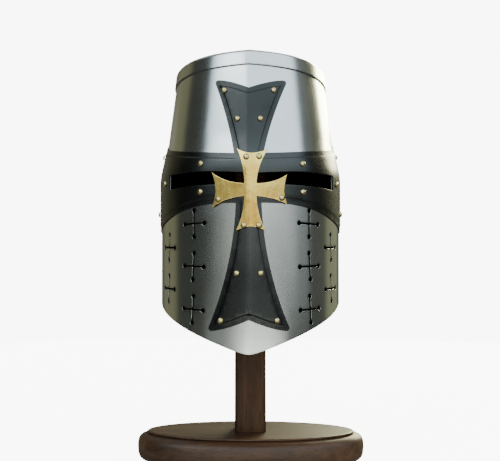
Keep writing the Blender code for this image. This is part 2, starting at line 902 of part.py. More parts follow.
def upright_rivet_places():
    """Rivets on the top arm and the foot of the black cross."""
    brow = section_height(BROW)
    top_root = brow + BAND_UP
    foot_root = brow - BAND_DOWN
    top_length = section_height(SEAM) - BLACK_TOP_MARGIN - top_root
    foot_length = foot_root - HELM_LIFT - BLACK_FOOT_MARGIN
    rows = []
    for label, along, across in TOP_RIVETS:
        rows.append((label, across * BLACK_TOP_SPAN, top_root + along * top_length))
    for label, along, across in FOOT_RIVETS:
        rows.append((label, across * BLACK_FOOT_SPAN, foot_root - along * foot_length))
    for label, s, z in rows:
        for word, side in (("left", -1), ("right", 1)):
            yield f"rivet_{label}_{word}", side * s, z, BLACK_FIELD


def brass_rivet_places():
    """Rivets on the brass cross."""
    middle = brass_middle()
    for label, across, up in BRASS_RIVETS:
        point = middle + Vector((across, up)) * BRASS_REACH
        yield f"rivet_{label}", point.x, point.y, BRASS_OUT


def lap_rivet_places():
    """Rivets down the two side laps."""
    s = LAP_ANGLE * WRAP_RADIUS - LAP_WIDTH / 2
    low = HELM_LIFT + EDGE_SIDE_RISE + LAP_RIVET_MARGIN
    high = section_height(SEAM) - LAP_RIVET_MARGIN
    for index in range(LAP_RIVETS):
        z = low + (high - low) * index / (LAP_RIVETS - 1)
        for word, side in (("left", -1), ("right", 1)):
            yield f"rivet_lap_{index + 1}_{word}", side * s, z, 0.0


def add_rivets(parent):
    """All rivet heads, each its own piece."""
    for places in (band_rivet_places, upright_rivet_places, brass_rivet_places, lap_rivet_places):
        for name, s, z, seat in places():
            add_rivet(name, s, z, seat, parent)


def oval_ring(out, z, sides):
    """Points round the base's oval, moved out by a distance."""
    ring = []
    for index in range(sides):
        turn = 2 * math.pi * index / sides
        x = (BASE_HALF_X + out) * math.cos(turn)
        y = STAND_BACK + (BASE_HALF_Y + out) * math.sin(turn)
        ring.append(Vector((x, y, z)))
    return ring


def add_stand_base(parent):
    """Oval base with a thin lip over a half-round edge and a low foot set back below."""
    rows = [(out * BASE_BULGE, up * BASE_HEIGHT) for out, up in reversed(BASE_EDGE)]
    rings = [oval_ring(out, z, BASE_SIDES) for out, z in rows]
    points, faces = capped_solid(rings)
    return add_object("stand_base", points, faces, "stained_wood", parent)


def add_stand_post(parent):
    """Square post with chamfered edges, from the base up to the head."""
    half = POST_WIDTH / 2
    inner = half - POST_CHAMFER
    outline = []
    for turn in range(4):
        outline.append(quarter_turned((half, -inner), turn))
        outline.append(quarter_turned((half, inner), turn))
    low = BASE_HEIGHT + GAP
    high = head_underside() - GAP
    rings = [[Vector((p.x, STAND_BACK + p.y, z)) for p in outline] for z in (low, high)]
    points, faces = capped_solid(rings)
    return add_object("stand_post", points, faces, "stained_wood", parent)


def head_underside():
    """Height of the underside of the stand's head, which carries the cap's dome."""
    share = HEAD_RADIUS / (HALF_WIDTH * SECTIONS[CROWN][1] - CROWN_CORNER)
    under = section_height(CROWN) - STEEL + dome_lift(share)
    return under - GAP - HEAD_HEIGHT


def add_stand_head(parent):
    """Plain disc inside the helm that carries the crown."""
    low = head_underside()
    rows = (
        (HEAD_RADIUS - HEAD_EDGE, low),
        (HEAD_RADIUS, low + HEAD_EDGE),
        (HEAD_RADIUS, low + HEAD_HEIGHT - HEAD_EDGE),
        (HEAD_RADIUS - HEAD_EDGE, low + HEAD_HEIGHT),
    )
    rings = []
    for radius, z in rows:
        turns = [2 * math.pi * index / HEAD_SIDES for index in range(HEAD_SIDES)]
        rings.append([Vector((radius * math.cos(t), radius * math.sin(t), z)) for t in turns])
    points, faces = capped_solid(rings)
    return add_object("stand_head", points, faces, "stained_wood", parent)


def clear_scene():
    """Remove the objects that a new file starts with."""
    for thing in list(bpy.data.objects):
        bpy.data.objects.remove(thing, do_unlink=True)


def main():
    clear_scene()
    root = bpy.data.objects.new("great_helm_and_stand", None)
    bpy.context.scene.collection.objects.link(root)
    add_front_plate(root)
    add_back_plate(root)
    add_crown_cap(root)
    add_black_cross(root)
    add_brass_cross(root)
    add_rivets(root)
    add_stand_base(root)
    add_stand_post(root)
    add_stand_head(root)


main()
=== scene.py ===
import math

import bpy
import numpy as np
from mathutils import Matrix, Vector
from mathutils.geometry import delaunay_2d_cdt


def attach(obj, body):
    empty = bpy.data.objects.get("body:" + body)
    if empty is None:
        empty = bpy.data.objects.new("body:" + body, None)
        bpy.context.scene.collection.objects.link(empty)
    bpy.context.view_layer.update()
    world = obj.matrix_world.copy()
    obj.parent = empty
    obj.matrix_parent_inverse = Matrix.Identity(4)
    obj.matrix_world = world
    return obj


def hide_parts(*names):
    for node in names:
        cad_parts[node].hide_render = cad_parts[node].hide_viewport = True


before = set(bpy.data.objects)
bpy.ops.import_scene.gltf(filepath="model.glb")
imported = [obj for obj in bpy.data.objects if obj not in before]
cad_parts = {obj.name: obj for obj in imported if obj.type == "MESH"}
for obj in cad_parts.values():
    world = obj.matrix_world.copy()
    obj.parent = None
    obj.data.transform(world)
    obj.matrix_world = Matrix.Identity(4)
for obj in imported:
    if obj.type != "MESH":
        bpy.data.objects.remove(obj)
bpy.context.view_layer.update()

# Great helm on its wooden stand. The sheets are flat patterns in (s, z), s the arc from the
# ridge line round to the right and z the height. A Geometry Nodes tree wraps them onto the
# helm, each at its height h over the steel. The sizes are the same as in the part's source.

GAP = 0.0003
STEEL = 0.0015
BLACK_SHEET = 0.0010
PRESSED_STEP = 0.0005
BRASS_SHEET = 0.0010

HELM_LIFT = 0.147
HELM_HEIGHT = 0.337
HALF_WIDTH = 0.1106
FRONT_DEPTH = 0.1200
RIDGE_PROUD = 0.0065
RIDGE_WIDTH = 0.045
CROWN_DOME = 0.003
CROWN_CORNER = 0.0038
LAP_ANGLE = math.radians(110.0)
LAP_WIDTH = 0.013
LAP_RAMP = 0.007

POINT, BROW, SHOULDER, SEAM, CROWN = range(5)
SECTIONS = (
    # height, side, front, ridge
    (0.000, 0.982, 0.983, 1.00),
    (0.608, 1.000, 1.000, 1.00),
    (0.709, 0.937, 0.958, 0.90),
    (0.947, 0.848, 0.904, 0.69),
    (1.000, 0.830, 0.884, 0.62),
)

EDGE_SLOPE = 0.345
EDGE_BLUNT = 0.0078
BACK_LOBE_POWER = 3.4
EDGE_SIDE_RISE = 0.052

SLOT_HALF = 0.1178
SLOT_DROP = 0.0034
SLOT_HEIGHT = 0.0172
SLOT_TOP_DIP = 0.0073
SLOT_LOW_DIP = 0.0017
SLOT_DIP_POWER = 1.6
SLOT_CORNER = 0.0012
PLATE_CORNER = 0.004
PUNCH_DRIFT = 0.0037

BREATH_PITCH = 0.1405 * HELM_HEIGHT
BREATH_INNER = 0.0719
BREATH_OUTER = 0.1182
BREATH_SPLAY = 0.0009
BREATH_REACH = 0.0146
BREATH_EYE = 0.0028
BREATH_SLIT = 0.0021
BREATH_TILT = math.radians(4.0)
BREATH_COLUMNS = (
    # arc, drift as a share of PUNCH_DRIFT, drop as a share of HELM_HEIGHT, rows
    (BREATH_INNER, 1.0, 0.1865, 3),
    (BREATH_OUTER, 0.3, 0.2590, 2),
)

BLACK_TOP_MARGIN = 0.0155
BLACK_TOP_SPAN = 0.0508
BLACK_TOP_LEAN = 0.003
BLACK_TOP_NECK = 0.0169
BLACK_FOOT_MARGIN = 0.0242
BLACK_FOOT_SPAN = 0.0493
BLACK_FOOT_NECK = 0.0142
BLACK_NOTCH = 0.0125
BAND_UP = 0.0122
BAND_DOWN = 0.0427
ARM_REACH = 0.184
ARM_TIP_UP = 0.046
ARM_TIP_DOWN = 0.0668
BLACK_CORNER = 0.0070
BORDER = 0.0065

# Control points of the two crosses' curves, as shares of the box between a curve's ends
BLACK_TOP_END = ((0.66, 1.02),)
BLACK_TOP_FLARE = ((0.68, 0.456),)
BLACK_ARM_UPPER = ((0.58, 0.231),)
BLACK_END_UPPER = ((0.0, 0.345),)
BLACK_END_LOWER = ((1.0, 0.655),)
BLACK_ARM_LOWER = ((0.377, 0.266), (0.583, 1.179))
BLACK_FOOT_FLARE = ((0.10, 0.5525),)
BLACK_FOOT_END = ((0.404, 0.0),)

BRASS_SHIFT = 0.002
BRASS_DROP = 0.029
BRASS_REACH = 0.0445
BRASS_SPAN = 0.0178
BRASS_NECK = 0.0061
BRASS_NOTCH = 0.0048
BRASS_FLARE_OUT = ((0.10, 0.58),)
BRASS_END_IN = ((0.50, 0.85),)
BRASS_END_OUT = ((0.50, 0.15),)
BRASS_FLARE_IN = ((0.90, 0.42),)
BRASS_ARMS = (
    # turn, reach, span_left, span_right, neck, notch
    (0, 1.03, 0.86, 1.16, 1.00, 1.30),
    (1, 0.99, 1.02, 1.18, 1.14, 0.95),
    (2, 0.99, 0.93, 0.87, 1.00, 0.90),
    (3, 0.935, 1.05, 0.80, 1.14, 0.75),
)

RIVET_RADIUS = 0.0035
RIVET_DOME = 0.0023
DOME_PAST_RIDGE = 0.4
BAND_RIVETS = (
    # name, along, height
    ("band_upper", 0.333, 0.065),
    ("band_lower", 0.333, -0.427),
    ("end_middle", 0.7065, -0.173),
    ("end_upper", 0.865, 0.561),
    ("end_lower", 0.865, -0.667),
)
END_PAIRS = ("end_upper", "end_lower")
TOP_RIVETS = (
    # name, along, across
    ("top_inner", 0.447, 0.276),
    ("top_outer", 0.845, 0.640),
)
FOOT_RIVETS = (
    ("foot_inner", 0.551, 0.267),
    ("foot_outer", 0.917, 0.648),
)
BRASS_RIVETS = (
    # name, across, up
    ("brass_top_left", -0.09, 0.79),
    ("brass_top_right", 0.20, 0.81),
    ("brass_foot_left", -0.15, -0.865),
    ("brass_foot_right", 0.195, -0.865),
    ("brass_arm_left", -0.81, -0.21),
    ("brass_arm_right", 0.79, -0.17),
)
LAP_RIVETS = 4
LAP_RIVET_MARGIN = 0.030
BOTH_SIDES = (("left", -1), ("right", 1))

BASE_HALF_X = 0.127
BASE_HALF_Y = 0.0565
BASE_HEIGHT = 0.0435
STAND_BACK = 0.010
BASE_BULGE = 0.012
BASE_PROFILE = (
    # out as a share of BASE_BULGE, up as a share of BASE_HEIGHT, from the top down
    (-0.30, 1.000),
    (-0.10, 0.999),
    (-0.03, 0.994),
    (0.00, 0.985),
    (0.00, 0.956),
    (-0.03, 0.946),
    (-0.10, 0.938),
    (-0.12, 0.932),
    (0.06, 0.930),
    (0.24, 0.924),
    (0.42, 0.912),
    (0.59, 0.893),
    (0.74, 0.862),
    (0.86, 0.818),
    (0.94, 0.760),
    (0.99, 0.690),
    (1.00, 0.620),
    (0.995, 0.545),
    (0.975, 0.465),
    (0.93, 0.390),
    (0.85, 0.330),
    (0.73, 0.278),
    (0.57, 0.240),
    (0.38, 0.214),
    (0.20, 0.200),
    (0.08, 0.192),
    (0.06, 0.180),
    (0.06, 0.010),
    (0.04, 0.000),
)
POST_WIDTH = 0.038
POST_CHAMFER = 0.003
HEAD_RADIUS = 0.058
HEAD_HEIGHT = 0.016
HEAD_EDGE = 0.003

WRAP_RADIUS = (HALF_WIDTH + FRONT_DEPTH) / 2
ROUND = 2 * math.pi * WRAP_RADIUS
BLACK_IN = GAP
BLACK_RIM = GAP + BLACK_SHEET
BLACK_FIELD = BLACK_RIM + PRESSED_STEP
BRASS_IN = BLACK_FIELD + GAP
BRASS_OUT = BRASS_IN + BRASS_SHEET
CAP_OUT = GAP + STEEL
BACK_DEPTH = FRONT_DEPTH + RIDGE_PROUD + BRASS_OUT + DOME_PAST_RIDGE * RIVET_DOME
PLATE_TOP_CLEARANCE = CROWN_CORNER + 2 * STEEL + GAP

# How softly the folds, the ridge and the post's edges are bent
FOLD_SOFTNESS = 0.0075
RIDGE_SOFTNESS = 0.0016
POST_SOFTNESS = 0.0006

# How the cut edges are broken, how far their wear and the steel's painted edge shade reach, and how dark
# their walls are marked as painted shade
RIM_RADIUS = 0.00022
RIM_STEPS = (0.0, 0.3, 1.0, 2.8)
RIM_FADE = 0.0012
WALL_MARK = 0.99

# Width of the step inside the black cross's border, and how much the rivet heads vary in size
PRESSED_WIDTH = 0.0013
PRESSED_STEPS = 5
HAND_SET = 0.05

# Spacing of the points on the sheets, and their distance from the rows along the edges
SPACE_S = 0.0042
SPACE_Z = 0.0050
SPACE_FOLD = 0.0020
SPACE_RIDGE = RIDGE_SOFTNESS / 1.5
REACH_RIDGE = 3 * RIDGE_SOFTNESS
CLEAR_RIM = 0.4 * SPACE_S
CLEAR_STEP = 0.2 * SPACE_S
CURVE_SPACE = 0.0022
SLOPE_STEP = 0.0002
WELD = 1.0e-5
PARALLEL = 1.0e-14
LEAST_MITRE = 0.45
FARTHEST = 1.0
BATCH = 2000

# Numbers of points along curves and round the turned pieces
CURVE_LEAST = 6
CORNER_STEPS = 8
CORNER_MOST = 0.95
SLOT_STEPS = 80
EYE_STEPS = 7
SLIT_SHARES = (0.25, 0.5, 0.75)
CAP_SIDES = 144
CAP_EDGE_STEPS = 4
CAP_TURN_STEPS = 8
CAP_FLANGE_SHARES = (0.25, 0.5, 0.75, 0.92)
CAP_DOME_SHARES = (0.985, 0.95, 0.9, 0.8, 0.65, 0.5, 0.35, 0.2, 0.08)
RIVET_SIDES = 28
RIVET_RINGS = 16
BASE_SIDES = 160
POST_ROWS = 24
POST_EDGE_STEPS = 3
HEAD_SIDES = 72
HEAD_EDGE_STEPS = 12

# Camera and frame of the photograph
FRAME_WIDTH = 500.0
FOCAL_PIXELS = 680.0
CAMERA_DISTANCE = 0.85
CAMERA_HEIGHT = 0.2155
CAMERA_TURN = math.radians(0.9)
CAMERA_SHIFT = 0.0005
HORIZON_PIXELS = 59.5
CAMERA_PITCH = math.atan(HORIZON_PIXELS / FOCAL_PIXELS)
SENSOR_WIDTH = 36.0


def section_height(index):
    """Height of a named section above the floor."""
    return HELM_LIFT + SECTIONS[index][0] * HELM_HEIGHT


# Node trees


def feed(tree, socket, value):
    """Give a socket another socket's output, or a plain value."""
    if isinstance(value, bpy.types.NodeSocket):
        tree.links.new(value, socket)
    else:
        socket.default_value = value


def place(tree, kind, inputs=None, **settings):
    """Node of a kind with its settings, and its inputs fed by name or number."""
    node = tree.nodes.new(kind)
    for key, value in settings.items():
        setattr(node, key, value)
    for name, value in (inputs or {}).items():
        feed(tree, node.inputs[name], value)
    return node


def calc(tree, operation, *values):
    """Math node on sockets or numbers; gives its result."""
    return place(tree, "ShaderNodeMath", dict(enumerate(values)), operation=operation).outputs[0]


def arrow(tree, operation, *values):
    """Vector Math node on sockets or vectors; gives its vector."""
    node = place(tree, "ShaderNodeVectorMath", operation=operation)
    for socket, value in zip([s for s in node.inputs if s.enabled], values):
        feed(tree, socket, value)
    return node.outputs[0]


def parts(tree, vector):
    """The three parts of a vector."""
    return place(tree, "ShaderNodeSeparateXYZ", {"Vector": vector}).outputs


def joined(tree, x, y, z):
    """A vector of three parts."""
    return place(tree, "ShaderNodeCombineXYZ", {"X": x, "Y": y, "Z": z}).outputs[0]


def ramp(tree, value, low, high, soft=False):
    """0 up to one limit and 1 from the other on, straight or soft between them."""
    values = {"Value": value, "From Min": low, "From Max": high}
    kind = "SMOOTHSTEP" if soft else "LINEAR"
    return place(tree, "ShaderNodeMapRange", values, interpolation_type=kind).outputs["Result"]


def socket_kind(label, default):
    """Kind of a group's socket, by its label or by its default value."""
    if label in ("Geometry", "Material"):
        return "NodeSocket" + label
    if isinstance(default, int):
        return "NodeSocketInt"
    return "NodeSocketFloat" if isinstance(default, float) else "NodeSocketVector"


def new_tree(name, kind, inputs, *outputs):
    """Node group with named sockets; gives it with its input and output sockets."""
    tree = bpy.data.node_groups.new(name, kind)
    for label, default in inputs.items():
        made = tree.interface.new_socket(label, in_out="INPUT", socket_type=socket_kind(label, default))
        if default is not None:
            made.default_value = default
    for label in outputs:
        socket = socket_kind(label, None if label == "Point" else 0.0)
        tree.interface.new_socket(label, in_out="OUTPUT", socket_type=socket)
    entry = tree.nodes.new("NodeGroupInput")
    leave = tree.nodes.new("NodeGroupOutput")
    return tree, entry.outputs, leave.inputs


# Sizes that every tree on the helm takes
HELM_SIZES = {
    "Half Width": HALF_WIDTH,
    "Front Depth": FRONT_DEPTH,
    "Back Depth": BACK_DEPTH,
    "Ridge Proud": RIDGE_PROUD,
    "Ridge Width": RIDGE_WIDTH,
    "Ridge Softness": RIDGE_SOFTNESS,
    "Fold Softness": FOLD_SOFTNESS,
    "Wrap Radius": WRAP_RADIUS,
    "Helm Lift": HELM_LIFT,
    "Helm Height": HELM_HEIGHT,
}


def soft_ramp(tree, over, soft):
    """0 below a fold and the distance past it above, bent softly over the fold."""
    span = calc(tree, "MULTIPLY", soft, 2.0)
    near = calc(tree, "ADD", over, soft)
    near = calc(tree, "MINIMUM", calc(tree, "MAXIMUM", near, 0.0), span)
    square = calc(tree, "MULTIPLY", near, near)
    bend = calc(tree, "DIVIDE", square, calc(tree, "MULTIPLY", span, 2.0))
    past = calc(tree, "MAXIMUM", calc(tree, "SUBTRACT", over, soft), 0.0)
    return calc(tree, "ADD", bend, past)


def section_share(tree, share, soft, column):
    """Share of a size at a height: straight between the sections, soft over the folds."""
    total = None
    before = 0.0
    for low, high in zip(SECTIONS, SECTIONS[1:]):
        slope = (high[column] - low[column]) / (high[0] - low[0])
        over = calc(tree, "SUBTRACT", share, low[0])
        if total is None:
            total = calc(tree, "MULTIPLY_ADD", over, slope, low[column])
        else:
            total = calc(tree, "MULTIPLY_ADD", soft_ramp(tree, over, soft), slope - before, total)
        before = slope
    return total


def helm_surface_tree():
    """Point on the outer face of the steel at an arc and a height."""
    inputs = {"Arc": 0.0, "Level": 0.0, **HELM_SIZES}
    tree, size, out = new_tree("helm_surface", "GeometryNodeTree", inputs, "Point")
    raised = calc(tree, "SUBTRACT", size["Level"], size["Helm Lift"])
    share = calc(tree, "DIVIDE", raised, size["Helm Height"])
    soft = calc(tree, "DIVIDE", size["Fold Softness"], size["Helm Height"])
    turn = calc(tree, "DIVIDE", size["Arc"], size["Wrap Radius"])
    side = calc(tree, "MULTIPLY", size["Half Width"], section_share(tree, share, soft, 1))
    x = calc(tree, "MULTIPLY", side, calc(tree, "SINE", turn))
    ahead = calc(tree, "COSINE", turn)
    facing = calc(tree, "GREATER_THAN", ahead, 0.0)
    extra = calc(tree, "SUBTRACT", size["Front Depth"], size["Back Depth"])
    depth = calc(tree, "MULTIPLY_ADD", facing, extra, size["Back Depth"])
    depth = calc(tree, "MULTIPLY", depth, section_share(tree, share, soft, 2))
    squares = calc(tree, "MULTIPLY", size["Ridge Softness"], size["Ridge Softness"])
    arc = calc(tree, "SQRT", calc(tree, "MULTIPLY_ADD", size["Arc"], size["Arc"], squares))
    fall = calc(tree, "SUBTRACT", 1.0, calc(tree, "DIVIDE", arc, size["Ridge Width"]))
    fall = calc(tree, "MAXIMUM", fall, 0.0)
    proud = calc(tree, "MULTIPLY", size["Ridge Proud"], section_share(tree, share, soft, 3))
    proud = calc(tree, "MULTIPLY", proud, calc(tree, "MULTIPLY", fall, fall))
    y = calc(tree, "MULTIPLY_ADD", depth, ahead, proud)
    feed(tree, out["Point"], joined(tree, x, calc(tree, "MULTIPLY", y, -1.0), size["Level"]))
    return tree


def helm_wrap_tree(surface):
    """Wrap a flat pattern, whose points hold (s, z, h), onto the helm."""
    inputs = {"Geometry": None, **HELM_SIZES}
    tree, size, out = new_tree("helm_wrap", "GeometryNodeTree", inputs, "Geometry")
    s, z, h = parts(tree, tree.nodes.new("GeometryNodeInputPosition").outputs[0])
    shared = {label: size[label] for label in HELM_SIZES}

    def steel(arc, level):
        values = {"Arc": arc, "Level": level, **shared}
        return place(tree, "GeometryNodeGroup", values, node_tree=surface).outputs["Point"]

    right = steel(calc(tree, "ADD", s, SLOPE_STEP), z)
    left = steel(calc(tree, "SUBTRACT", s, SLOPE_STEP), z)
    upper = steel(s, calc(tree, "ADD", z, SLOPE_STEP))
    lower = steel(s, calc(tree, "SUBTRACT", z, SLOPE_STEP))
    along = arrow(tree, "SUBTRACT", right, left)
    up = arrow(tree, "SUBTRACT", upper, lower)
    outward = arrow(tree, "NORMALIZE", arrow(tree, "CROSS_PRODUCT", along, up))
    lifted = arrow(tree, "ADD", steel(s, z), arrow(tree, "SCALE", outward, h))
    values = {"Geometry": size["Geometry"], "Name": "outward", "Value": outward}
    kinds = {"data_type": "FLOAT_VECTOR", "domain": "POINT"}
    kept = place(tree, "GeometryNodeStoreNamedAttribute", values, **kinds).outputs["Geometry"]
    moved = place(tree, "GeometryNodeSetPosition", {"Geometry": kept, "Position": lifted})
    feed(tree, out["Geometry"], moved.outputs["Geometry"])
    return tree


def finish_tree(tree, geometry, material, out):
    """End a tree: realize its instances and set the material."""
    real = place(tree, "GeometryNodeRealizeInstances", {"Geometry": geometry}).outputs["Geometry"]
    dressed = place(tree, "GeometryNodeSetMaterial", {"Geometry": real, "Material": material})
    feed(tree, out["Geometry"], dressed.outputs["Geometry"])


def tree_on_helm(name, wrap, extra):
    """New tree that wraps its pattern onto the helm; gives its sockets and the wrapped pattern."""
    inputs = {"Geometry": None, "Material": None, **extra, **HELM_SIZES}
    tree, given, out = new_tree(name, "GeometryNodeTree", inputs, "Geometry")
    values = {label: given[label] for label in ("Geometry", *HELM_SIZES)}
    wrapped = place(tree, "GeometryNodeGroup", values, node_tree=wrap).outputs["Geometry"]
    return tree, given, out, wrapped


def sheet_tree(wrap):
    """A whole sheet on the helm."""
    tree, given, out, wrapped = tree_on_helm("sheet_on_helm", wrap, {})
    finish_tree(tree, wrapped, given["Material"], out)
    return tree


def rivet_tree(wrap):
    """A hand-set domed head on every point of a flat pattern of rivet places."""
    extra = {"Head Radius": RIVET_RADIUS, "Dome Height": RIVET_DOME, "Hand Set": HAND_SET, "Seed": 0}
    tree, given, out, wrapped = tree_on_helm("rivets_on_helm", wrap, extra)
    values = {"Segments": RIVET_SIDES, "Rings": RIVET_RINGS, "Radius": 1.0}
    ball = place(tree, "GeometryNodeMeshUVSphere", values).outputs["Mesh"]
    x, y, z = parts(tree, tree.nodes.new("GeometryNodeInputPosition").outputs[0])
    head = joined(
        tree,
        calc(tree, "MULTIPLY", x, given["Head Radius"]),
        calc(tree, "MULTIPLY", y, given["Head Radius"]),
        calc(tree, "MULTIPLY", calc(tree, "MAXIMUM", z, 0.0), given["Dome Height"]),
    )
    dome = place(tree, "GeometryNodeSetPosition", {"Geometry": ball, "Position": head})
    values = {"Name": "outward"}
    outward = place(tree, "GeometryNodeInputNamedAttribute", values, data_type="FLOAT_VECTOR")
    values = {"Vector": outward.outputs["Attribute"]}
    aim = place(tree, "FunctionNodeAlignRotationToVector", values, axis="Z")
    spread = place(tree, "FunctionNodeRandomValue", {"Seed": given["Seed"]}, data_type="FLOAT")
    least, most = [socket for socket in spread.inputs if socket.enabled][:2]
    feed(tree, least, calc(tree, "SUBTRACT", 1.0, given["Hand Set"]))
    feed(tree, most, 1.0)
    values = {
        "Points": wrapped,
        "Instance": dome.outputs["Geometry"],
        "Rotation": aim.outputs["Rotation"],
        "Scale": [socket for socket in spread.outputs if socket.enabled][0],
    }
    heads = place(tree, "GeometryNodeInstanceOnPoints", values)
    finish_tree(tree, heads.outputs["Instances"], given["Material"], out)
    return tree


def shown(name, data):
    """New object in the scene."""
    thing = bpy.data.objects.new(name, data)
    bpy.context.scene.collection.objects.link(thing)
    return thing


def grown(name, mesh, tree, **values):
    """Plain mesh object that a Geometry Nodes tree makes from a starting mesh."""
    start = shown(name + "_pattern", mesh)
    modifier = start.modifiers.new(tree.name, "NODES")
    modifier.node_group = tree
    for item in tree.interface.items_tree:
        label = item.name.lower().replace(" ", "_")
        if item.in_out == "INPUT" and label in values:
            modifier[item.identifier] = values[label]
    depsgraph = bpy.context.evaluated_depsgraph_get()
    made = bpy.data.meshes.new_from_object(
        start.evaluated_get(depsgraph), preserve_all_data_layers=True, depsgraph=depsgraph
    )
    start.modifiers.clear()
    bpy.data.objects.remove(start)
    made.name = name
    return shown(name, made)


# Flat patterns


def bezier(points, steps):
    """Points along the curve that a short list of control points gives."""
    out = []
    for index in range(steps + 1):
        t = index / steps
        row = [Vector(p) for p in points]
        while len(row) > 1:
            row = [a.lerp(b, t) for a, b in zip(row, row[1:])]
        out.append(row[0])
    return out


def sweep(start, end, shares):
    """Curve from start to end, its controls given as shares of the box between them."""
    controls = [start]
    for across, up in shares:
        x = start[0] + across * (end[0] - start[0])
        y = start[1] + up * (end[1] - start[1])
        controls.append((x, y))
    controls.append(end)
    length = (Vector(end) - Vector(start)).length
    return bezier(controls, max(CURVE_LEAST, round(length / CURVE_SPACE)))


def path_cut(path, length):
    """The part of a path that is left when a length is cut off its end."""
    left = length
    index = len(path) - 1
    while index > 1 and (path[index] - path[index - 1]).length < left:
        left -= (path[index] - path[index - 1]).length
        index -= 1
    edge = path[index - 1] - path[index]
    point = path[index] + edge * min(CORNER_MOST, left / edge.length)
    return path[:index] + [point]


def rounded_loop(runs, radii):
    """Join runs end to end; a radius above 0 rounds the corner after that run."""
    runs = [list(run) for run in runs]
    corners = []
    for index, radius in enumerate(radii):
        corner = runs[index][-1]
        if radius <= 0:
            corners.append([])
            continue
        after = (index + 1) % len(runs)
        runs[index] = path_cut(runs[index], radius)
        runs[after] = path_cut(runs[after][::-1], radius)[::-1]
        corners.append(bezier([runs[index][-1], corner, runs[after][0]], CORNER_STEPS)[1:-1])
    loop = []
    for run, corner in zip(runs, corners):
        start = 1 if loop and (loop[-1] - run[0]).length < WELD else 0
        loop.extend(run[start:])
        loop.extend(corner)
    if (loop[0] - loop[-1]).length < WELD:
        loop.pop()
    return loop


def crossing(a, b, c, d):
    """Where lines ab and cd cross, as a point and its share along each, or None."""
    ab = b - a
    cd = d - c
    det = ab.x * cd.y - ab.y * cd.x
    if abs(det) < PARALLEL:
        return None
    ac = c - a
    t = (ac.x * cd.y - ac.y * cd.x) / det
    u = (ac.x * ab.y - ac.y * ab.x) / det
    return a + ab * t, t, u


def inset_run(run, distance):
    """A run moved to its right by a distance."""
    out = []
    for index, point in enumerate(run):
        before = run[max(index - 1, 0)]
        after = run[min(index + 1, len(run) - 1)]
        way = (after - before).normalized()
        out.append(point + Vector((way.y, -way.x)) * distance)
    return out


def meet(first, second):
    """Trim or lengthen two runs so that the first ends where the second starts."""
    for i in range(len(first) - 1, 0, -1):
        for j in range(1, len(second)):
            hit = crossing(first[i - 1], first[i], second[j - 1], second[j])
            if hit and 0 <= hit[1] <= 1 and 0 <= hit[2] <= 1:
                return first[:i] + [hit[0]], [hit[0]] + second[j:]
    hit = crossing(first[-2], first[-1], second[0], second[1])
    return first[:-1] + [hit[0]], [hit[0]] + second[1:]


def inset_runs(runs, distance):
    """Runs of a clockwise loop, all moved in by a distance and joined again."""
    moved = [inset_run(run, distance) for run in runs]
    for index in range(len(moved)):
        after = (index + 1) % len(moved)
        moved[index], moved[after] = meet(moved[index], moved[after])
    return moved


def mirrored(runs):
    """Runs of the right half turned into the left half's, still clockwise."""
    return [[Vector((-p.x, p.y)) for p in reversed(run)] for run in reversed(runs)]


def black_cross_half(top_span):
    """Right half of the black cross's outline, clockwise from the notch of its top arm."""
    brow = section_height(BROW)
    top = section_height(SEAM) - BLACK_TOP_MARGIN
    foot = HELM_LIFT + BLACK_FOOT_MARGIN
    top_tip = (top_span, top)
    top_root = (BLACK_TOP_NECK, brow + BAND_UP)
    arm_top = (ARM_REACH, brow + ARM_TIP_UP)
    arm_notch = (ARM_REACH - BLACK_NOTCH, brow - (ARM_TIP_DOWN - ARM_TIP_UP) / 2)
    arm_low = (ARM_REACH, brow - ARM_TIP_DOWN)
    foot_root = (BLACK_FOOT_NECK, brow - BAND_DOWN)
    foot_tip = (BLACK_FOOT_SPAN, foot)
    return [
        sweep((0, top - BLACK_NOTCH), top_tip, BLACK_TOP_END),
        sweep(top_tip, top_root, BLACK_TOP_FLARE),
        sweep(top_root, arm_top, BLACK_ARM_UPPER),
        sweep(arm_top, arm_notch, BLACK_END_UPPER),
        sweep(arm_notch, arm_low, BLACK_END_LOWER),
        sweep(arm_low, foot_root, BLACK_ARM_LOWER),
        sweep(foot_root, foot_tip, BLACK_FOOT_FLARE),
        sweep(foot_tip, (0, foot + BLACK_NOTCH), BLACK_FOOT_END),
    ]


def black_cross_runs():
    """Outline of the black cross, whose top arm is cut wider on the right."""
    right = black_cross_half(BLACK_TOP_SPAN + BLACK_TOP_LEAN)
    left = black_cross_half(BLACK_TOP_SPAN - BLACK_TOP_LEAN)
    return right + mirrored(left)


def black_cross_loop(distance=0.0):
    """Closed outline of the black cross, anticlockwise, moved in by a distance."""
    runs = black_cross_runs()
    corner = BLACK_CORNER
    if distance > 0:
        runs = inset_runs(runs, distance)
        corner = BLACK_CORNER / 2
    return rounded_loop(runs, (corner, 0) * (len(runs) // 2))[::-1]


def brass_middle():
    """Middle of the brass cross in the flat pattern."""
    return Vector((BRASS_SHIFT, section_height(BROW) - BRASS_DROP))


def quarter_turned(point, turns):
    """A flat point turned anticlockwise by quarter turns."""
    x, y = point
    for _ in range(turns):
        x, y = -y, x
    return Vector((x, y))


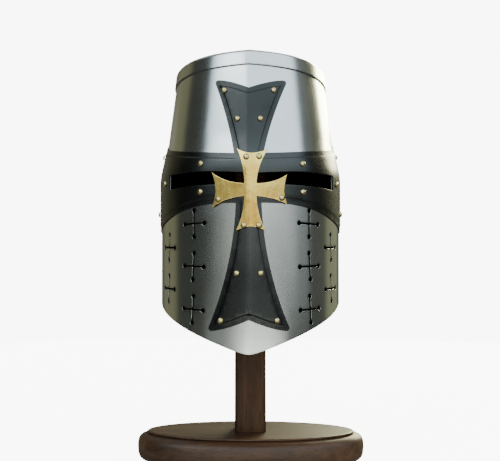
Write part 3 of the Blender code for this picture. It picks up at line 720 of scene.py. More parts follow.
def brass_cross_loop():
    """Outline of the brass cross, anticlockwise."""
    middle = brass_middle()
    loop = []
    for index, (turn, reach, left, right, neck, cut) in enumerate(BRASS_ARMS):
        before = BRASS_ARMS[index - 1][4]
        after = BRASS_ARMS[(index + 1) % 4][4]
        tip = reach * BRASS_REACH
        root_right = (neck * BRASS_NECK, before * BRASS_NECK)
        root_left = (-neck * BRASS_NECK, after * BRASS_NECK)
        tip_right = (right * BRASS_SPAN, tip)
        tip_left = (-left * BRASS_SPAN, tip)
        notch = (0, tip - cut * BRASS_NOTCH)
        run = sweep(root_right, tip_right, BRASS_FLARE_OUT)
        run += sweep(tip_right, notch, BRASS_END_IN)[1:]
        run += sweep(notch, tip_left, BRASS_END_OUT)[1:]
        run += sweep(tip_left, root_left, BRASS_FLARE_IN)[1:-1]
        loop.extend(middle + quarter_turned(p, turn) for p in run)
    return loop


def slot_loop():
    """Outline of the sight slot, which dips towards the ridge line."""
    top = section_height(BROW) - SLOT_DROP
    low = top - SLOT_HEIGHT
    upper = []
    lower = []
    for index in range(SLOT_STEPS + 1):
        share = 2 * index / SLOT_STEPS - 1
        dip = (1 - abs(share)) ** SLOT_DIP_POWER
        s = PUNCH_DRIFT + share * SLOT_HALF
        upper.append(Vector((s, top - SLOT_TOP_DIP * dip)))
        lower.append(Vector((s, low - SLOT_LOW_DIP * dip)))
    ends = [lower[-1], upper[-1]], [upper[0], lower[0]]
    return rounded_loop([lower, ends[0], upper[::-1], ends[1]], (SLOT_CORNER,) * 4)


def breath_loop(s, z, tilt):
    """Outline of one breath: two crossed slits with a round eye at each end."""
    half = BREATH_SLIT / 2
    opening = math.asin(half / BREATH_EYE)
    loop = []
    for quarter in range(4):
        for index in range(2 * EYE_STEPS + 1):
            turn = (math.pi - opening) * (index / EYE_STEPS - 1)
            x = BREATH_REACH + BREATH_EYE * math.cos(turn)
            loop.append(quarter_turned((x, BREATH_EYE * math.sin(turn)), quarter))
        end = BREATH_REACH - BREATH_EYE
        for share in reversed(SLIT_SHARES):
            loop.append(quarter_turned((half + share * (end - half), half), quarter))
        loop.append(quarter_turned((half, half), quarter))
        for share in SLIT_SHARES:
            loop.append(quarter_turned((half, half + share * (end - half)), quarter))
    cos = math.cos(tilt)
    sin = math.sin(tilt)
    return [Vector((s + p.x * cos - p.y * sin, z + p.x * sin + p.y * cos)) for p in loop]


def breath_loops():
    """The breaths on both sides: three in the inner column, two in the outer one."""
    loops = []
    for side in (-1, 1):
        for column, (arc, drift, drop, rows) in enumerate(BREATH_COLUMNS):
            for row in range(rows):
                s = drift * PUNCH_DRIFT + side * (arc + row * BREATH_SPLAY)
                z = section_height(BROW) - drop * HELM_HEIGHT - row * BREATH_PITCH
                loops.append(breath_loop(s, z, side * BREATH_TILT * min(row + column, 1)))
    return loops


def lower_edge(s):
    """Height of the front plate's lower edge."""
    rise = EDGE_SLOPE * (math.hypot(s, EDGE_BLUNT) - EDGE_BLUNT)
    return HELM_LIFT + min(rise, EDGE_SIDE_RISE)


def back_lower_edge(s):
    """Height of the back plate's lower edge: a round lobe, level from the laps on."""
    level = ROUND / 2 - LAP_ANGLE * WRAP_RADIUS - LAP_RAMP
    share = min(abs(s - ROUND / 2) / level, 1.0)
    return HELM_LIFT + EDGE_SIDE_RISE * share ** BACK_LOBE_POWER


def plate_top():
    """Height of the plates' upper edge, inside the cap's flange."""
    return section_height(CROWN) - PLATE_TOP_CLEARANCE


def front_plate_loop():
    """Outline of the front plate, anticlockwise."""
    edge = LAP_ANGLE * WRAP_RADIUS
    corner = math.sqrt((EDGE_SIDE_RISE / EDGE_SLOPE + EDGE_BLUNT) ** 2 - EDGE_BLUNT ** 2)
    count = round(2 * corner / CURVE_SPACE)
    point = [Vector((s, lower_edge(s))) for s in np.linspace(-corner, corner, count + 1)]
    low = HELM_LIFT + EDGE_SIDE_RISE
    top = plate_top()
    corners = [Vector(p) for p in ((edge, low), (edge, top), (-edge, top), (-edge, low))]
    runs = [divided((corners[-1], point[0])), point]
    runs += [divided(pair) for pair in zip([point[-1]] + corners, corners)]
    return rounded_loop(runs, (PLATE_CORNER,) * 2 + (0.0,) * 4)


def divided(line):
    """A straight line between two points, with points spaced along it."""
    start, end = line
    count = max(1, round((end - start).length / SPACE_S))
    return [start.lerp(end, index / count) for index in range(count + 1)]


def back_plate_loop():
    """Outline of the back plate, anticlockwise, from under one lap round to the other."""
    start = LAP_ANGLE * WRAP_RADIUS - LAP_WIDTH
    end = ROUND - start
    low = back_lower_edge(start)
    count = round((end - start) / CURVE_SPACE)
    runs = [[Vector((s, back_lower_edge(s))) for s in np.linspace(start, end, count + 1)]]
    top = plate_top()
    corners = [Vector(p) for p in ((end, low), (end, top), (start, top), (start, low))]
    runs += [divided(pair) for pair in zip(corners, corners[1:])]
    return rounded_loop(runs, (0.0,) * 4)


def lap_drop(s):
    """How far the back plate is joggled in to pass under the front plate."""
    edge = LAP_ANGLE * WRAP_RADIUS + GAP
    past = np.minimum(s, ROUND - s) - edge
    share = np.clip(1 - past / LAP_RAMP, 0.0, 1.0)
    return (STEEL + GAP) * share * share * (3 - 2 * share)


# Meshing of the flat patterns


def shifted(loop, distance):
    """A closed loop with every side moved to its left by a distance."""
    points = np.array([tuple(p) for p in loop])
    way = np.roll(points, -1, axis=0) - points
    way /= np.linalg.norm(way, axis=1)[:, None]
    left = np.column_stack((-way[:, 1], way[:, 0]))
    before = np.roll(left, 1, axis=0)
    middle = left + before
    middle /= np.linalg.norm(middle, axis=1)[:, None]
    stretch = np.clip((middle * left).sum(1), LEAST_MITRE, 1.0)
    return [Vector(p) for p in points + middle * (distance / stretch)[:, None]]


def within(points, loop):
    """Which points lie inside a loop."""
    start = np.array([tuple(p) for p in loop])
    end = np.roll(start, -1, axis=0)
    rise = end[:, 1] - start[:, 1]
    slope = (end[:, 0] - start[:, 0]) / np.where(rise == 0, 1.0, rise)
    out = np.zeros(len(points), bool)
    for first in range(0, len(points), BATCH):
        x = points[first:first + BATCH, 0][:, None]
        y = points[first:first + BATCH, 1][:, None]
        spans = (start[:, 1] > y) != (end[:, 1] > y)
        hits = spans & (x < start[:, 0] + (y - start[:, 1]) * slope)
        out[first:first + BATCH] = hits.sum(1) % 2 == 1
    return out


def distance_to(points, loops):
    """Distance from each point to the nearest side of some closed loops."""
    best = np.full(len(points), FARTHEST)
    for loop in loops:
        start = np.array([tuple(p) for p in loop])
        side = np.roll(start, -1, axis=0) - start
        length = (side * side).sum(1)
        for first in range(0, len(points), BATCH):
            offset = points[first:first + BATCH, None, :] - start[None]
            share = np.clip((offset * side).sum(2) / length, 0.0, 1.0)
            away = np.linalg.norm(offset - side * share[..., None], axis=2).min(1)
            best[first:first + BATCH] = np.minimum(best[first:first + BATCH], away)
    return best


def stations(low, high, space, fine=(), fine_space=SPACE_FOLD, reach=FOLD_SOFTNESS):
    """Evenly spaced values from low to high, closer together near some of them."""
    out = list(np.linspace(low, high, max(2, round((high - low) / space) + 1)))
    for middle in fine:
        out = [v for v in out if abs(v - middle) > reach]
        count = round(reach / fine_space)
        out += [middle + reach * index / count for index in range(-count, count + 1)]
    return sorted(v for v in out if low < v < high)


def triangles(outline, holes, inner, fine_z, fine_s):
    """Points and triangles over a flat pattern, with rows of points along its cut edges."""
    rings = []
    for step in RIM_STEPS:
        rings.append(shifted(outline, step * RIM_RADIUS))
        rings.extend(shifted(hole, -step * RIM_RADIUS) for hole in holes)
    rings.extend(inner)
    points = []
    edges = []
    for ring in rings:
        first = len(points)
        points.extend(ring)
        edges.extend((first + i, first + (i + 1) % len(ring)) for i in range(len(ring)))
    box = np.array([tuple(p) for p in outline])
    low, high = box.min(0), box.max(0)
    columns = stations(low[0], high[0], SPACE_S, fine_s, SPACE_RIDGE, REACH_RIDGE)
    rows = stations(low[1], high[1], SPACE_Z, fine_z)
    grid = np.array([(s, z) for s in columns for z in rows])
    grid = grid[within(grid, outline)]
    for hole in holes:
        grid = grid[~within(grid, hole)]
    clear = distance_to(grid, rings[:len(rings) - len(inner)]) > CLEAR_RIM
    if inner:
        clear &= distance_to(grid, inner) > CLEAR_STEP
    points.extend(Vector(p) for p in grid[clear])
    result = delaunay_2d_cdt(points, edges, [], 0, WELD / 5)
    flat = np.array([tuple(p) for p in result[0]])
    faces = np.array([tuple(face) for face in result[2]])
    middles = flat[faces].mean(1)
    kept = within(middles, outline)
    for hole in holes:
        kept &= ~within(middles, hole)
    return flat, faces[kept]


def broken_edge(distance):
    """How far a sheet's face drops near a cut edge, along a quarter round."""
    left = RIM_RADIUS - np.minimum(distance, RIM_RADIUS)
    return RIM_RADIUS - np.sqrt(np.maximum(RIM_RADIUS ** 2 - left ** 2, 0.0))


def sheet_mesh(name, flat, faces, cuts, inner_height, outer_height):
    """Mesh of a sheet in (s, z, h), with its cut edges and its dark hidden face marked."""
    used = np.unique(faces)
    number = np.zeros(len(flat), int)
    number[used] = np.arange(len(used))
    flat = flat[used]
    faces = number[faces]
    count = len(used)
    distance = distance_to(flat, cuts)
    outer = np.column_stack((flat, outer_height(flat) - broken_edge(distance)))
    inner = np.column_stack((flat, inner_height(flat)))
    sides = set()
    for a, b, c in faces.tolist():
        sides.update(((a, b), (b, c), (c, a)))
    walls = []
    for a, b in sorted(sides):
        if (b, a) not in sides:
            walls.append((b, a, a + count))
            walls.append((b, a + count, b + count))
    back = faces[:, ::-1] + count
    mesh = bpy.data.meshes.new(name)
    mesh.from_pydata(np.vstack((outer, inner)).tolist(), [], faces.tolist() + back.tolist() + walls)
    rim = mesh.attributes.new("rim", "FLOAT", "POINT")
    rim.data.foreach_set("value", np.tile(np.exp(-distance / RIM_FADE), 2))
    # The inner face and the walls are marked hidden, to be painted near-black as painted shade
    hidden = mesh.attributes.new("hidden", "FLOAT", "FACE")
    mark = [0.0] * len(faces) + [1.0] * len(faces) + [WALL_MARK] * len(walls)
    hidden.data.foreach_set("value", mark)
    pattern = mesh.uv_layers.new(name="pattern")
    corners = np.zeros(len(mesh.loops), int)
    mesh.loops.foreach_get("vertex_index", corners)
    pattern.data.foreach_set("uv", np.vstack((flat, flat))[corners].ravel())
    return mesh


def smooth(thing, degrees=50.0):
    """Smooth shading, with edges that turn more sharply kept crisp."""
    thing.data.shade_smooth()
    thing.data.set_sharp_from_angle(angle=math.radians(degrees))


def dress(thing, slot, *nodes):
    """Tie a finished piece to the body and hide the solids it stands for; its material slot is not used.
    """
    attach(thing, "root")
    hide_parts(*nodes)
    return thing


# Finishes

# Scales and limits of the shared effects
COARSE_LINES = 0.18
RIM_PATCHES = 160.0
RIM_LIMITS = (0.25, 0.95)
PORE_FINENESS = 9.0
PORE_LIMITS = (0.56, 0.72)


def noise(tree, vector, scale, detail, **values):
    """Cloudy noise over a surface."""
    inputs = {"Vector": vector, "Scale": scale, "Detail": detail}
    inputs.update({label.title(): value for label, value in values.items()})
    return place(tree, "ShaderNodeTexNoise", inputs).outputs["Fac"]


def cloud_group():
    """Uneven polish: a soft cloudy mask over the surface."""
    inputs = {"Vector": None, "Scale": 20.0, "Contrast": 1.0}
    tree, given, out = new_tree("uneven_polish", "ShaderNodeTree", inputs, "Mask")
    clouds = noise(tree, given["Vector"], given["Scale"], detail=4.0, roughness=0.55)
    spread = calc(tree, "MULTIPLY", calc(tree, "SUBTRACT", clouds, 0.5), given["Contrast"])
    mask = place(tree, "ShaderNodeMath", {0: spread, 1: 0.5}, operation="ADD", use_clamp=True)
    feed(tree, out["Mask"], mask.outputs[0])
    return tree


def brushing_group():
    """Fine lines left by a brushing wheel, long in one direction."""
    inputs = {"Vector": None, "Fineness": 900.0, "Stretch": (1.0, 1.0, 0.02)}
    tree, given, out = new_tree("brushing_lines", "ShaderNodeTree", inputs, "Lines")
    drawn = arrow(tree, "MULTIPLY", given["Vector"], given["Stretch"])
    fine = noise(tree, drawn, given["Fineness"], detail=3.0)
    wider = calc(tree, "MULTIPLY", given["Fineness"], COARSE_LINES)
    coarse = noise(tree, drawn, wider, detail=2.0)
    feed(tree, out["Lines"], calc(tree, "MULTIPLY", calc(tree, "MULTIPLY", fine, coarse), 2.0))
    return tree


def rim_wear_and_shade_group():
    """Mask of the cut edges: rubbed wear on the black and the brass, painted edge shade on the steel."""
    inputs = {"Rim": 0.0, "Vector": None, "Reach": 0.5}
    tree, given, out = new_tree("worn_rim", "ShaderNodeTree", inputs, "Mask")
    patches = noise(tree, given["Vector"], RIM_PATCHES, detail=3.0)
    patches = calc(tree, "ADD", patches, given["Reach"])
    feed(tree, out["Mask"], ramp(tree, calc(tree, "MULTIPLY", given["Rim"], patches), *RIM_LIMITS))
    return tree


def wood_group():
    """Open grain of a dark hardwood, drawn out along one direction."""
    inputs = {"Vector": None, "Stretch": (1.0, 1.0, 0.08), "Grain Scale": 90.0}
    tree, given, out = new_tree("hardwood_grain", "ShaderNodeTree", inputs, "Bands", "Pores")
    drawn = arrow(tree, "MULTIPLY", given["Vector"], given["Stretch"])
    bands = noise(tree, drawn, given["Grain Scale"], detail=6.0, roughness=0.6, distortion=0.6)
    pores = noise(tree, drawn, calc(tree, "MULTIPLY", given["Grain Scale"], PORE_FINENESS), detail=2.0)
    feed(tree, out["Bands"], bands)
    feed(tree, out["Pores"], ramp(tree, pores, *PORE_LIMITS))
    return tree


# The shared effects, by the names that the finishes call them by
GROUPS = {}

# Colours of the finishes, and where the black cross is painted lighter as a painted sheen, as shares of
# HELM_HEIGHT
STEEL_DULL = (0.47, 0.49, 0.485)
STEEL_BRIGHT = (0.54, 0.56, 0.555)
STEEL_SPECK = (0.43, 0.44, 0.42)
# Painted shade along the steel's cut edges and the cap's flange edge
STEEL_RIM_SHADE = (0.12, 0.12, 0.11)
# Near-black painted shade of the steel's hidden face and walls
STEEL_WITHIN_SHADE = (0.004, 0.004, 0.004)
BLACK_DEEP = (0.026, 0.028, 0.028)
BLACK_PALE = (0.038, 0.040, 0.039)
BLACK_PAINTED_SHEEN = (0.052, 0.055, 0.054)
BLACK_EDGE = (0.10, 0.10, 0.10)
# Near-black painted shade of the black cross's hidden face and walls
BLACK_WITHIN_SHADE = (0.006, 0.006, 0.006)
PAINTED_SHEEN_REACH = 0.26
PAINTED_SHEEN_CORE = 0.12
HIDDEN_SHEEN = 0.05
BRASS_TARNISH = (0.52, 0.29, 0.035)
BRASS_CLEAN = (0.76, 0.57, 0.13)
BRASS_LINE = (0.88, 0.72, 0.26)
BRASS_EDGE = (0.90, 0.76, 0.36)
# Dark painted shade of the brass cross's hidden face and walls
BRASS_WITHIN_SHADE = (0.10, 0.06, 0.02)
RIVET_DULL = (0.42, 0.34, 0.15)
RIVET_BRIGHT = (0.60, 0.52, 0.28)
WOOD_DARK = (0.016, 0.0072, 0.0034)
WOOD_DARK_CLOUD = (0.025, 0.0110, 0.0050)
WOOD_LIGHT = (0.056, 0.0250, 0.0110)
WOOD_LIGHT_CLOUD = (0.080, 0.0370, 0.0170)
WOOD_PORE = (0.007, 0.004, 0.002)
WOOD_GRAIN_LYING = (0.06, 1.0, 1.0)
WOOD_GRAIN_UPRIGHT = (1.0, 1.0, 0.06)
BASE_GLOSS = 0.30
POST_GLOSS = 0.12
PAPER_GREY = (0.88, 0.88, 0.88)
PAPER_PALE = (0.92, 0.92, 0.92)


def finish(name, metallic=1.0, roughness=0.5):
    """New material with its Principled shader, object coordinates and plain settings."""
    made = bpy.data.materials.new(name)
    made.use_nodes = True
    tree = made.node_tree
    shader = tree.nodes["Principled BSDF"]
    shader.inputs["Metallic"].default_value = metallic
    shader.inputs["Roughness"].default_value = roughness
    where = tree.nodes.new("ShaderNodeTexCoord").outputs["Object"]
    return made, tree, shader, where


def effect(tree, name, **inputs):
    """One of the shared effects, placed in a material with its own values."""
    values = {label.replace("_", " ").title(): value for label, value in inputs.items()}
    return place(tree, "ShaderNodeGroup", values, node_tree=GROUPS[name]).outputs


def named(tree, name):
    """Value of a mesh attribute."""
    return place(tree, "ShaderNodeAttribute", attribute_name=name).outputs["Fac"]


def blend(tree, mask, first, second):
    """Colour between two colours, by a mask."""
    node = place(tree, "ShaderNodeMix", data_type="RGBA")
    sockets = {s.identifier: s for s in node.inputs}
    feed(tree, sockets["Factor_Float"], mask)
    for key, value in (("A_Color", first), ("B_Color", second)):
        feed(tree, sockets[key], (*value, 1.0) if isinstance(value, tuple) else value)
    return [s for s in node.outputs if s.identifier == "Result_Color"][0]


def touched(tree, mask, share, first, second):
    """Colour changed towards another by a share of a mask."""
    return blend(tree, calc(tree, "MULTIPLY", mask, share), first, second)


def span(tree, mask, low, high):
    """A mask turned into a value between two limits."""
    values = {"Value": mask, "To Min": low, "To Max": high}
    return place(tree, "ShaderNodeMapRange", values).outputs["Result"]


def relief(tree, shader, *layers):
    """Bump from layers of (height, strength, depth), each on top of the last."""
    for height, strength, depth in layers:
        node = place(tree, "ShaderNodeBump", {"Height": height, "Strength": strength, "Distance": depth})
        below = shader.inputs["Normal"].links
        if below:
            feed(tree, node.inputs["Normal"], below[0].from_socket)
        feed(tree, shader.inputs["Normal"], node.outputs["Normal"])


def bare_within(tree, shader, hidden):
    """Hidden faces keep no metal's shine, so that their near-black painted shade stays dark."""
    feed(tree, shader.inputs["Metallic"], calc(tree, "SUBTRACT", 1.0, hidden))
    shader.inputs["Specular IOR Level"].default_value = HIDDEN_SHEEN


def satin_steel():
    """Polished sheet steel with a soft uneven polish, painted shade along its cut edges and near-black
    painted shade on its hidden face and walls.
    """
    made, tree, shader, where = finish("satin_steel")
    clouds = effect(tree, "clouds", vector=where, scale=16.0, contrast=1.5)["Mask"]
    specks = effect(tree, "clouds", vector=where, scale=75.0, contrast=1.6)["Mask"]
    lines = effect(tree, "brushing", vector=where, fineness=900.0, stretch=(1.0, 1.0, 0.05))["Lines"]
    rim = effect(tree, "rim", rim=named(tree, "rim"), vector=where, reach=0.3)["Mask"]
    hidden = named(tree, "hidden")
    colour = blend(tree, clouds, STEEL_DULL, STEEL_BRIGHT)
    colour = touched(tree, specks, 0.2, colour, STEEL_SPECK)
    # Painted shade: the steel is darkened along its cut edges
    colour = touched(tree, rim, 0.75, colour, STEEL_RIM_SHADE)
    # Painted shade: the hidden face and cut walls are made near-black
    feed(tree, shader.inputs["Base Color"], blend(tree, hidden, colour, STEEL_WITHIN_SHADE))
    rough = calc(tree, "ADD", span(tree, clouds, 0.17, 0.22), span(tree, lines, -0.01, 0.01))
    feed(tree, shader.inputs["Roughness"], calc(tree, "MULTIPLY_ADD", hidden, 0.45, rough))
    bare_within(tree, shader, hidden)
    waves = effect(tree, "clouds", vector=where, scale=11.0, contrast=1.0)["Mask"]
    relief(tree, shader, (waves, 0.30, 0.0010), (lines, 0.01, 0.0001))
    return made


def painted_sheen_on_black(tree, where):
    """Mask of the cross's middle height, where the black is painted lighter as a painted sheen."""
    middle = section_height(BROW) - BAND_DOWN
    away = calc(tree, "ABSOLUTE", calc(tree, "SUBTRACT", parts(tree, where)["Z"], middle))
    return ramp(tree, away, HELM_HEIGHT * PAINTED_SHEEN_REACH, HELM_HEIGHT * PAINTED_SHEEN_CORE, soft=True)


def blackened_steel():
    """Blackened sheet with a satin gleam, rubbed a little along its edges, painted lighter round its
    middle as a painted sheen and near-black on its hidden faces as painted shade.
    """
    made, tree, shader, where = finish("blackened_steel")
    clouds = effect(tree, "clouds", vector=where, scale=26.0, contrast=1.8)["Mask"]
    specks = effect(tree, "clouds", vector=where, scale=120.0, contrast=1.6)["Mask"]
    rim = effect(tree, "rim", rim=named(tree, "rim"), vector=where, reach=0.2)["Mask"]
    hidden = named(tree, "hidden")
    colour = blend(tree, clouds, BLACK_DEEP, BLACK_PALE)
    # Painted sheen: the black is made lighter round the band's lower edge
    colour = blend(tree, painted_sheen_on_black(tree, where), colour, BLACK_PAINTED_SHEEN)
    colour = touched(tree, rim, 0.35, colour, BLACK_EDGE)
    # Painted shade: the hidden face and cut walls are made near-black
    feed(tree, shader.inputs["Base Color"], blend(tree, hidden, colour, BLACK_WITHIN_SHADE))
    bare_within(tree, shader, hidden)
    rough = calc(tree, "ADD", span(tree, clouds, 0.24, 0.31), span(tree, specks, -0.02, 0.02))
    feed(tree, shader.inputs["Roughness"], rough)
    relief(tree, shader, (clouds, 0.22, 0.0005), (specks, 0.08, 0.0002))
    return made


def brushed_brass():
    """Brass sheet with brushing lines up and down and a warm uneven tarnish."""
    made, tree, shader, where = finish("brushed_brass")
    clouds = effect(tree, "clouds", vector=where, scale=42.0, contrast=2.6)["Mask"]
    lines = effect(tree, "brushing", vector=where, fineness=650.0, stretch=(1.0, 1.0, 0.03))["Lines"]
    rim = effect(tree, "rim", rim=named(tree, "rim"), vector=where, reach=0.4)["Mask"]
    colour = blend(tree, clouds, BRASS_TARNISH, BRASS_CLEAN)
    colour = touched(tree, lines, 0.35, colour, BRASS_LINE)
    colour = touched(tree, rim, 0.3, colour, BRASS_EDGE)
    # Painted shade: the hidden face and cut walls are made near-black
    feed(tree, shader.inputs["Base Color"], blend(tree, named(tree, "hidden"), colour, BRASS_WITHIN_SHADE))
    rough = calc(tree, "ADD", span(tree, clouds, 0.16, 0.24), span(tree, lines, -0.03, 0.06))
    feed(tree, shader.inputs["Roughness"], rough)
    relief(tree, shader, (clouds, 0.35, 0.0006), (lines, 0.35, 0.00012))
    return made


def rivet_brass():
    """Pale polished brass of the rivet heads, dulled in patches."""
    made, tree, shader, where = finish("pale_rivet_brass")
    clouds = effect(tree, "clouds", vector=where, scale=240.0, contrast=2.2)["Mask"]
    feed(tree, shader.inputs["Base Color"], blend(tree, clouds, RIVET_DULL, RIVET_BRIGHT))
    feed(tree, shader.inputs["Roughness"], span(tree, clouds, 0.20, 0.30))
    relief(tree, shader, (clouds, 0.15, 0.0002))
    return made


def stained_wood(name, stretch, gloss):
    """Dark stained hardwood, lacquered but for what the helm hides, its grain drawn out one way."""
    made, tree, shader, where = finish(name, metallic=0.0)
    grain = effect(tree, "wood", vector=where, stretch=stretch, grain_scale=70.0)
    clouds = effect(tree, "clouds", vector=where, scale=12.0, contrast=1.8)["Mask"]
    bands, pores = grain["Bands"], grain["Pores"]
    dark = blend(tree, clouds, WOOD_DARK, WOOD_DARK_CLOUD)
    light = blend(tree, clouds, WOOD_LIGHT, WOOD_LIGHT_CLOUD)
    colour = blend(tree, span(tree, bands, -0.6, 1.6), dark, light)
    feed(tree, shader.inputs["Base Color"], touched(tree, pores, 0.6, colour, WOOD_PORE))
    shader.inputs["Specular IOR Level"].default_value = gloss
    side = HELM_LIFT + EDGE_SIDE_RISE
    bare = ramp(tree, parts(tree, where)["Z"], side - EDGE_SIDE_RISE / 2, side)
    rough = calc(tree, "MULTIPLY_ADD", bare, 0.4, span(tree, bands, 0.34, 0.50))
    feed(tree, shader.inputs["Roughness"], rough)
    height = calc(tree, "SUBTRACT", bands, calc(tree, "MULTIPLY", pores, 0.6))
    relief(tree, shader, (height, 0.2, 0.0005))
    return made


# Pieces


def level_face(height):
    """A face at one height over the steel."""
    return lambda points: np.full(len(points), height)


def add_sheet(name, sheets, metal, slot, node, outline, holes, inner, outer, steps=(), fine_s=(0.0,)):
    """One finished sheet of the helm, from its outline to its place."""
    folds = (section_height(BROW), section_height(SHOULDER))
    flat, faces = triangles(outline, holes, steps, folds, fine_s)
    mesh = sheet_mesh(node + "_flat", flat, faces, [outline] + holes, inner, outer)
    sheet = grown(name, mesh, sheets, material=metal)
    smooth(sheet)
    return dress(sheet, slot, node)


def add_front_plate(sheets, metal):
    """Face and sides of the helm, pierced by the slot and the breaths."""
    return add_sheet(
        "face_plate", sheets, metal, "steel", "front_plate",
        front_plate_loop(), [slot_loop()] + breath_loops(), level_face(-STEEL), level_face(0.0),
    )


def add_back_plate(sheets, metal):
    """Rear half of the helm, joggled in under the laps."""
    edge = LAP_ANGLE * WRAP_RADIUS + GAP + LAP_RAMP / 2
    return add_sheet(
        "rear_plate", sheets, metal, "steel", "back_plate", back_plate_loop(), [],
        lambda points: -STEEL - lap_drop(points[:, 0]), lambda points: -lap_drop(points[:, 0]),
        fine_s=(edge, ROUND - edge),
    )


def add_black_cross(sheets, metal):
    """Blackened cross whose field is pressed up inside its border."""
    outline = black_cross_loop()
    spread = [index / (PRESSED_STEPS - 1) - 0.5 for index in range(PRESSED_STEPS)]
    steps = [black_cross_loop(BORDER + share * PRESSED_WIDTH) for share in spread]

    def pressed(points):
        past = (distance_to(points, [outline]) - BORDER) / PRESSED_WIDTH + 0.5
        share = np.clip(past, 0.0, 1.0)
        return BLACK_RIM + PRESSED_STEP * share * share * (3 - 2 * share)

    return add_sheet(
        "blackened_cross", sheets, metal, "black_steel", "black_cross",
        outline, [slot_loop()], level_face(BLACK_IN), pressed, steps,
    )


def add_brass_cross(sheets, metal):
    """Small brass cross over the middle of the black one."""
    return add_sheet(
        "small_brass_cross", sheets, metal, "brass", "brass_cross",
        brass_cross_loop(), [], level_face(BRASS_IN), level_face(BRASS_OUT),
    )


def band_rivet_places():
    """Rivets on the side arms of the black cross, on both sides."""
    brow = section_height(BROW)
    for label, along, height in BAND_RIVETS:
        drift = 0.0 if label in END_PAIRS else PUNCH_DRIFT
        z = brow + height * (ARM_TIP_UP if height > 0 else ARM_TIP_DOWN)
        for word, side in BOTH_SIDES:
            yield f"rivet_{label}_{word}", drift + side * along * ARM_REACH, z, BLACK_FIELD


def upright_rivet_places():
    """Rivets on the top arm and the foot of the black cross."""
    brow = section_height(BROW)
    top_root = brow + BAND_UP
    foot_root = brow - BAND_DOWN
    top_length = section_height(SEAM) - BLACK_TOP_MARGIN - top_root
    foot_length = foot_root - HELM_LIFT - BLACK_FOOT_MARGIN
    arms = (
        (TOP_RIVETS, BLACK_TOP_SPAN, top_root, top_length),
        (FOOT_RIVETS, BLACK_FOOT_SPAN, foot_root, -foot_length),
    )
    for rivets, width, root, length in arms:
        for label, along, across in rivets:
            for word, side in BOTH_SIDES:
                s = side * (across * width)
                yield f"rivet_{label}_{word}", s, root + along * length, BLACK_FIELD


def brass_rivet_places():
    """Rivets on the brass cross."""
    middle = brass_middle()
    for label, across, up in BRASS_RIVETS:
        point = middle + Vector((across, up)) * BRASS_REACH
        yield f"rivet_{label}", point.x, point.y, BRASS_OUT


def lap_rivet_places():
    """Rivets down the two side laps."""
    s = LAP_ANGLE * WRAP_RADIUS - LAP_WIDTH / 2
    low = HELM_LIFT + EDGE_SIDE_RISE + LAP_RIVET_MARGIN
    high = section_height(SEAM) - LAP_RIVET_MARGIN
    for index in range(LAP_RIVETS):
        z = low + (high - low) * index / (LAP_RIVETS - 1)
        for word, side in BOTH_SIDES:
            yield f"rivet_lap_{index + 1}_{word}", side * s, z, 0.0


def add_rivets(name, places, tree, metal):
    """One group of rivet heads, grown on their places."""
    rows = list(places)
    mesh = bpy.data.meshes.new(name + "_places")
    mesh.from_pydata([(s, z, seat + GAP) for label, s, z, seat in rows], [], [])
    heads = grown(name, mesh, tree, material=metal, hand_set=HAND_SET, seed=len(rows))
    smooth(heads, degrees=60.0)
    return dress(heads, "rivet_brass", *[label for label, *rest in rows])


def wrapped_points(sheets, rows):
    """Places on the helm of a list of (s, z, h), from the same tree as the sheets."""
    mesh = bpy.data.meshes.new("marks")
    mesh.from_pydata(rows, [], [])
    marks = grown("marks", mesh, sheets)
    out = [vertex.co.copy() for vertex in marks.data.vertices]
    bpy.data.objects.remove(marks)
    return out


def circle(count):
    """Angles once round."""
    return [2 * math.pi * index / count for index in range(count)]


def fan(first, sides, tip, inward):
    """Triangles from a ring of points to its middle, seen from inside or outside."""
    turned = [(i, (i + 1) % sides) for i in range(sides)]
    return [(first + (b if inward else a), first + (a if inward else b), tip) for a, b in turned]


def solid_of_rings(name, rings, metal, tips=None):
    """Closed mesh object through rings of equal size, its ends fanned to their tips."""
    sides = len(rings[0])
    verts = [p for ring in rings for p in ring]
    faces = []
    for low in range(0, len(verts) - sides, sides):
        for i in range(sides):
            j = (i + 1) % sides
            faces.append((low + i, low + j, low + sides + j, low + sides + i))
    last = len(verts) - sides
    verts.extend(tips or [sum(ring, Vector()) / sides for ring in (rings[0], rings[-1])])
    faces += fan(0, sides, len(verts) - 2, True) + fan(last, sides, len(verts) - 1, False)
    mesh = bpy.data.meshes.new(name)
    mesh.from_pydata([tuple(p) for p in verts], [], faces)
    mesh.materials.append(metal)
    return shown(name, mesh)


def cap_rows(inner):
    """Rows of the cap from its flange's edge to the rim of its top: inset and height."""
    seam = section_height(SEAM)
    straight = section_height(CROWN) - CROWN_CORNER
    thick = STEEL if inner else 0.0
    radius = CROWN_CORNER - thick
    rows = [(thick, seam)]
    if not inner:
        rows = []
        for index in range(CAP_EDGE_STEPS + 1):
            turn = math.pi / 2 * (index / CAP_EDGE_STEPS)
            rows.append((RIM_RADIUS * (1 - math.sin(turn)), seam + RIM_RADIUS * (1 - math.cos(turn))))
        rows.append((0.0, seam + 3 * RIM_RADIUS))
    rows += [(thick, seam + share * (straight - seam)) for share in CAP_FLANGE_SHARES]
    for index in range(CAP_TURN_STEPS + 1):
        turn = math.pi / 2 * index / CAP_TURN_STEPS
        rows.append((thick + radius * (1 - math.cos(turn)), straight + radius * math.sin(turn)))
    return rows


def domed(rings, middle):
    """Rings of the cap's flange and edge, with those of the dome inside them."""
    rim = rings[-1]
    for share in CAP_DOME_SHARES:
        lift = CROWN_DOME * (1 - share * share)
        flat = [middle.lerp(Vector((p.x, p.y)), share) for p in rim]
        rings.append([Vector((f.x, f.y, p.z + lift)) for f, p in zip(flat, rim)])


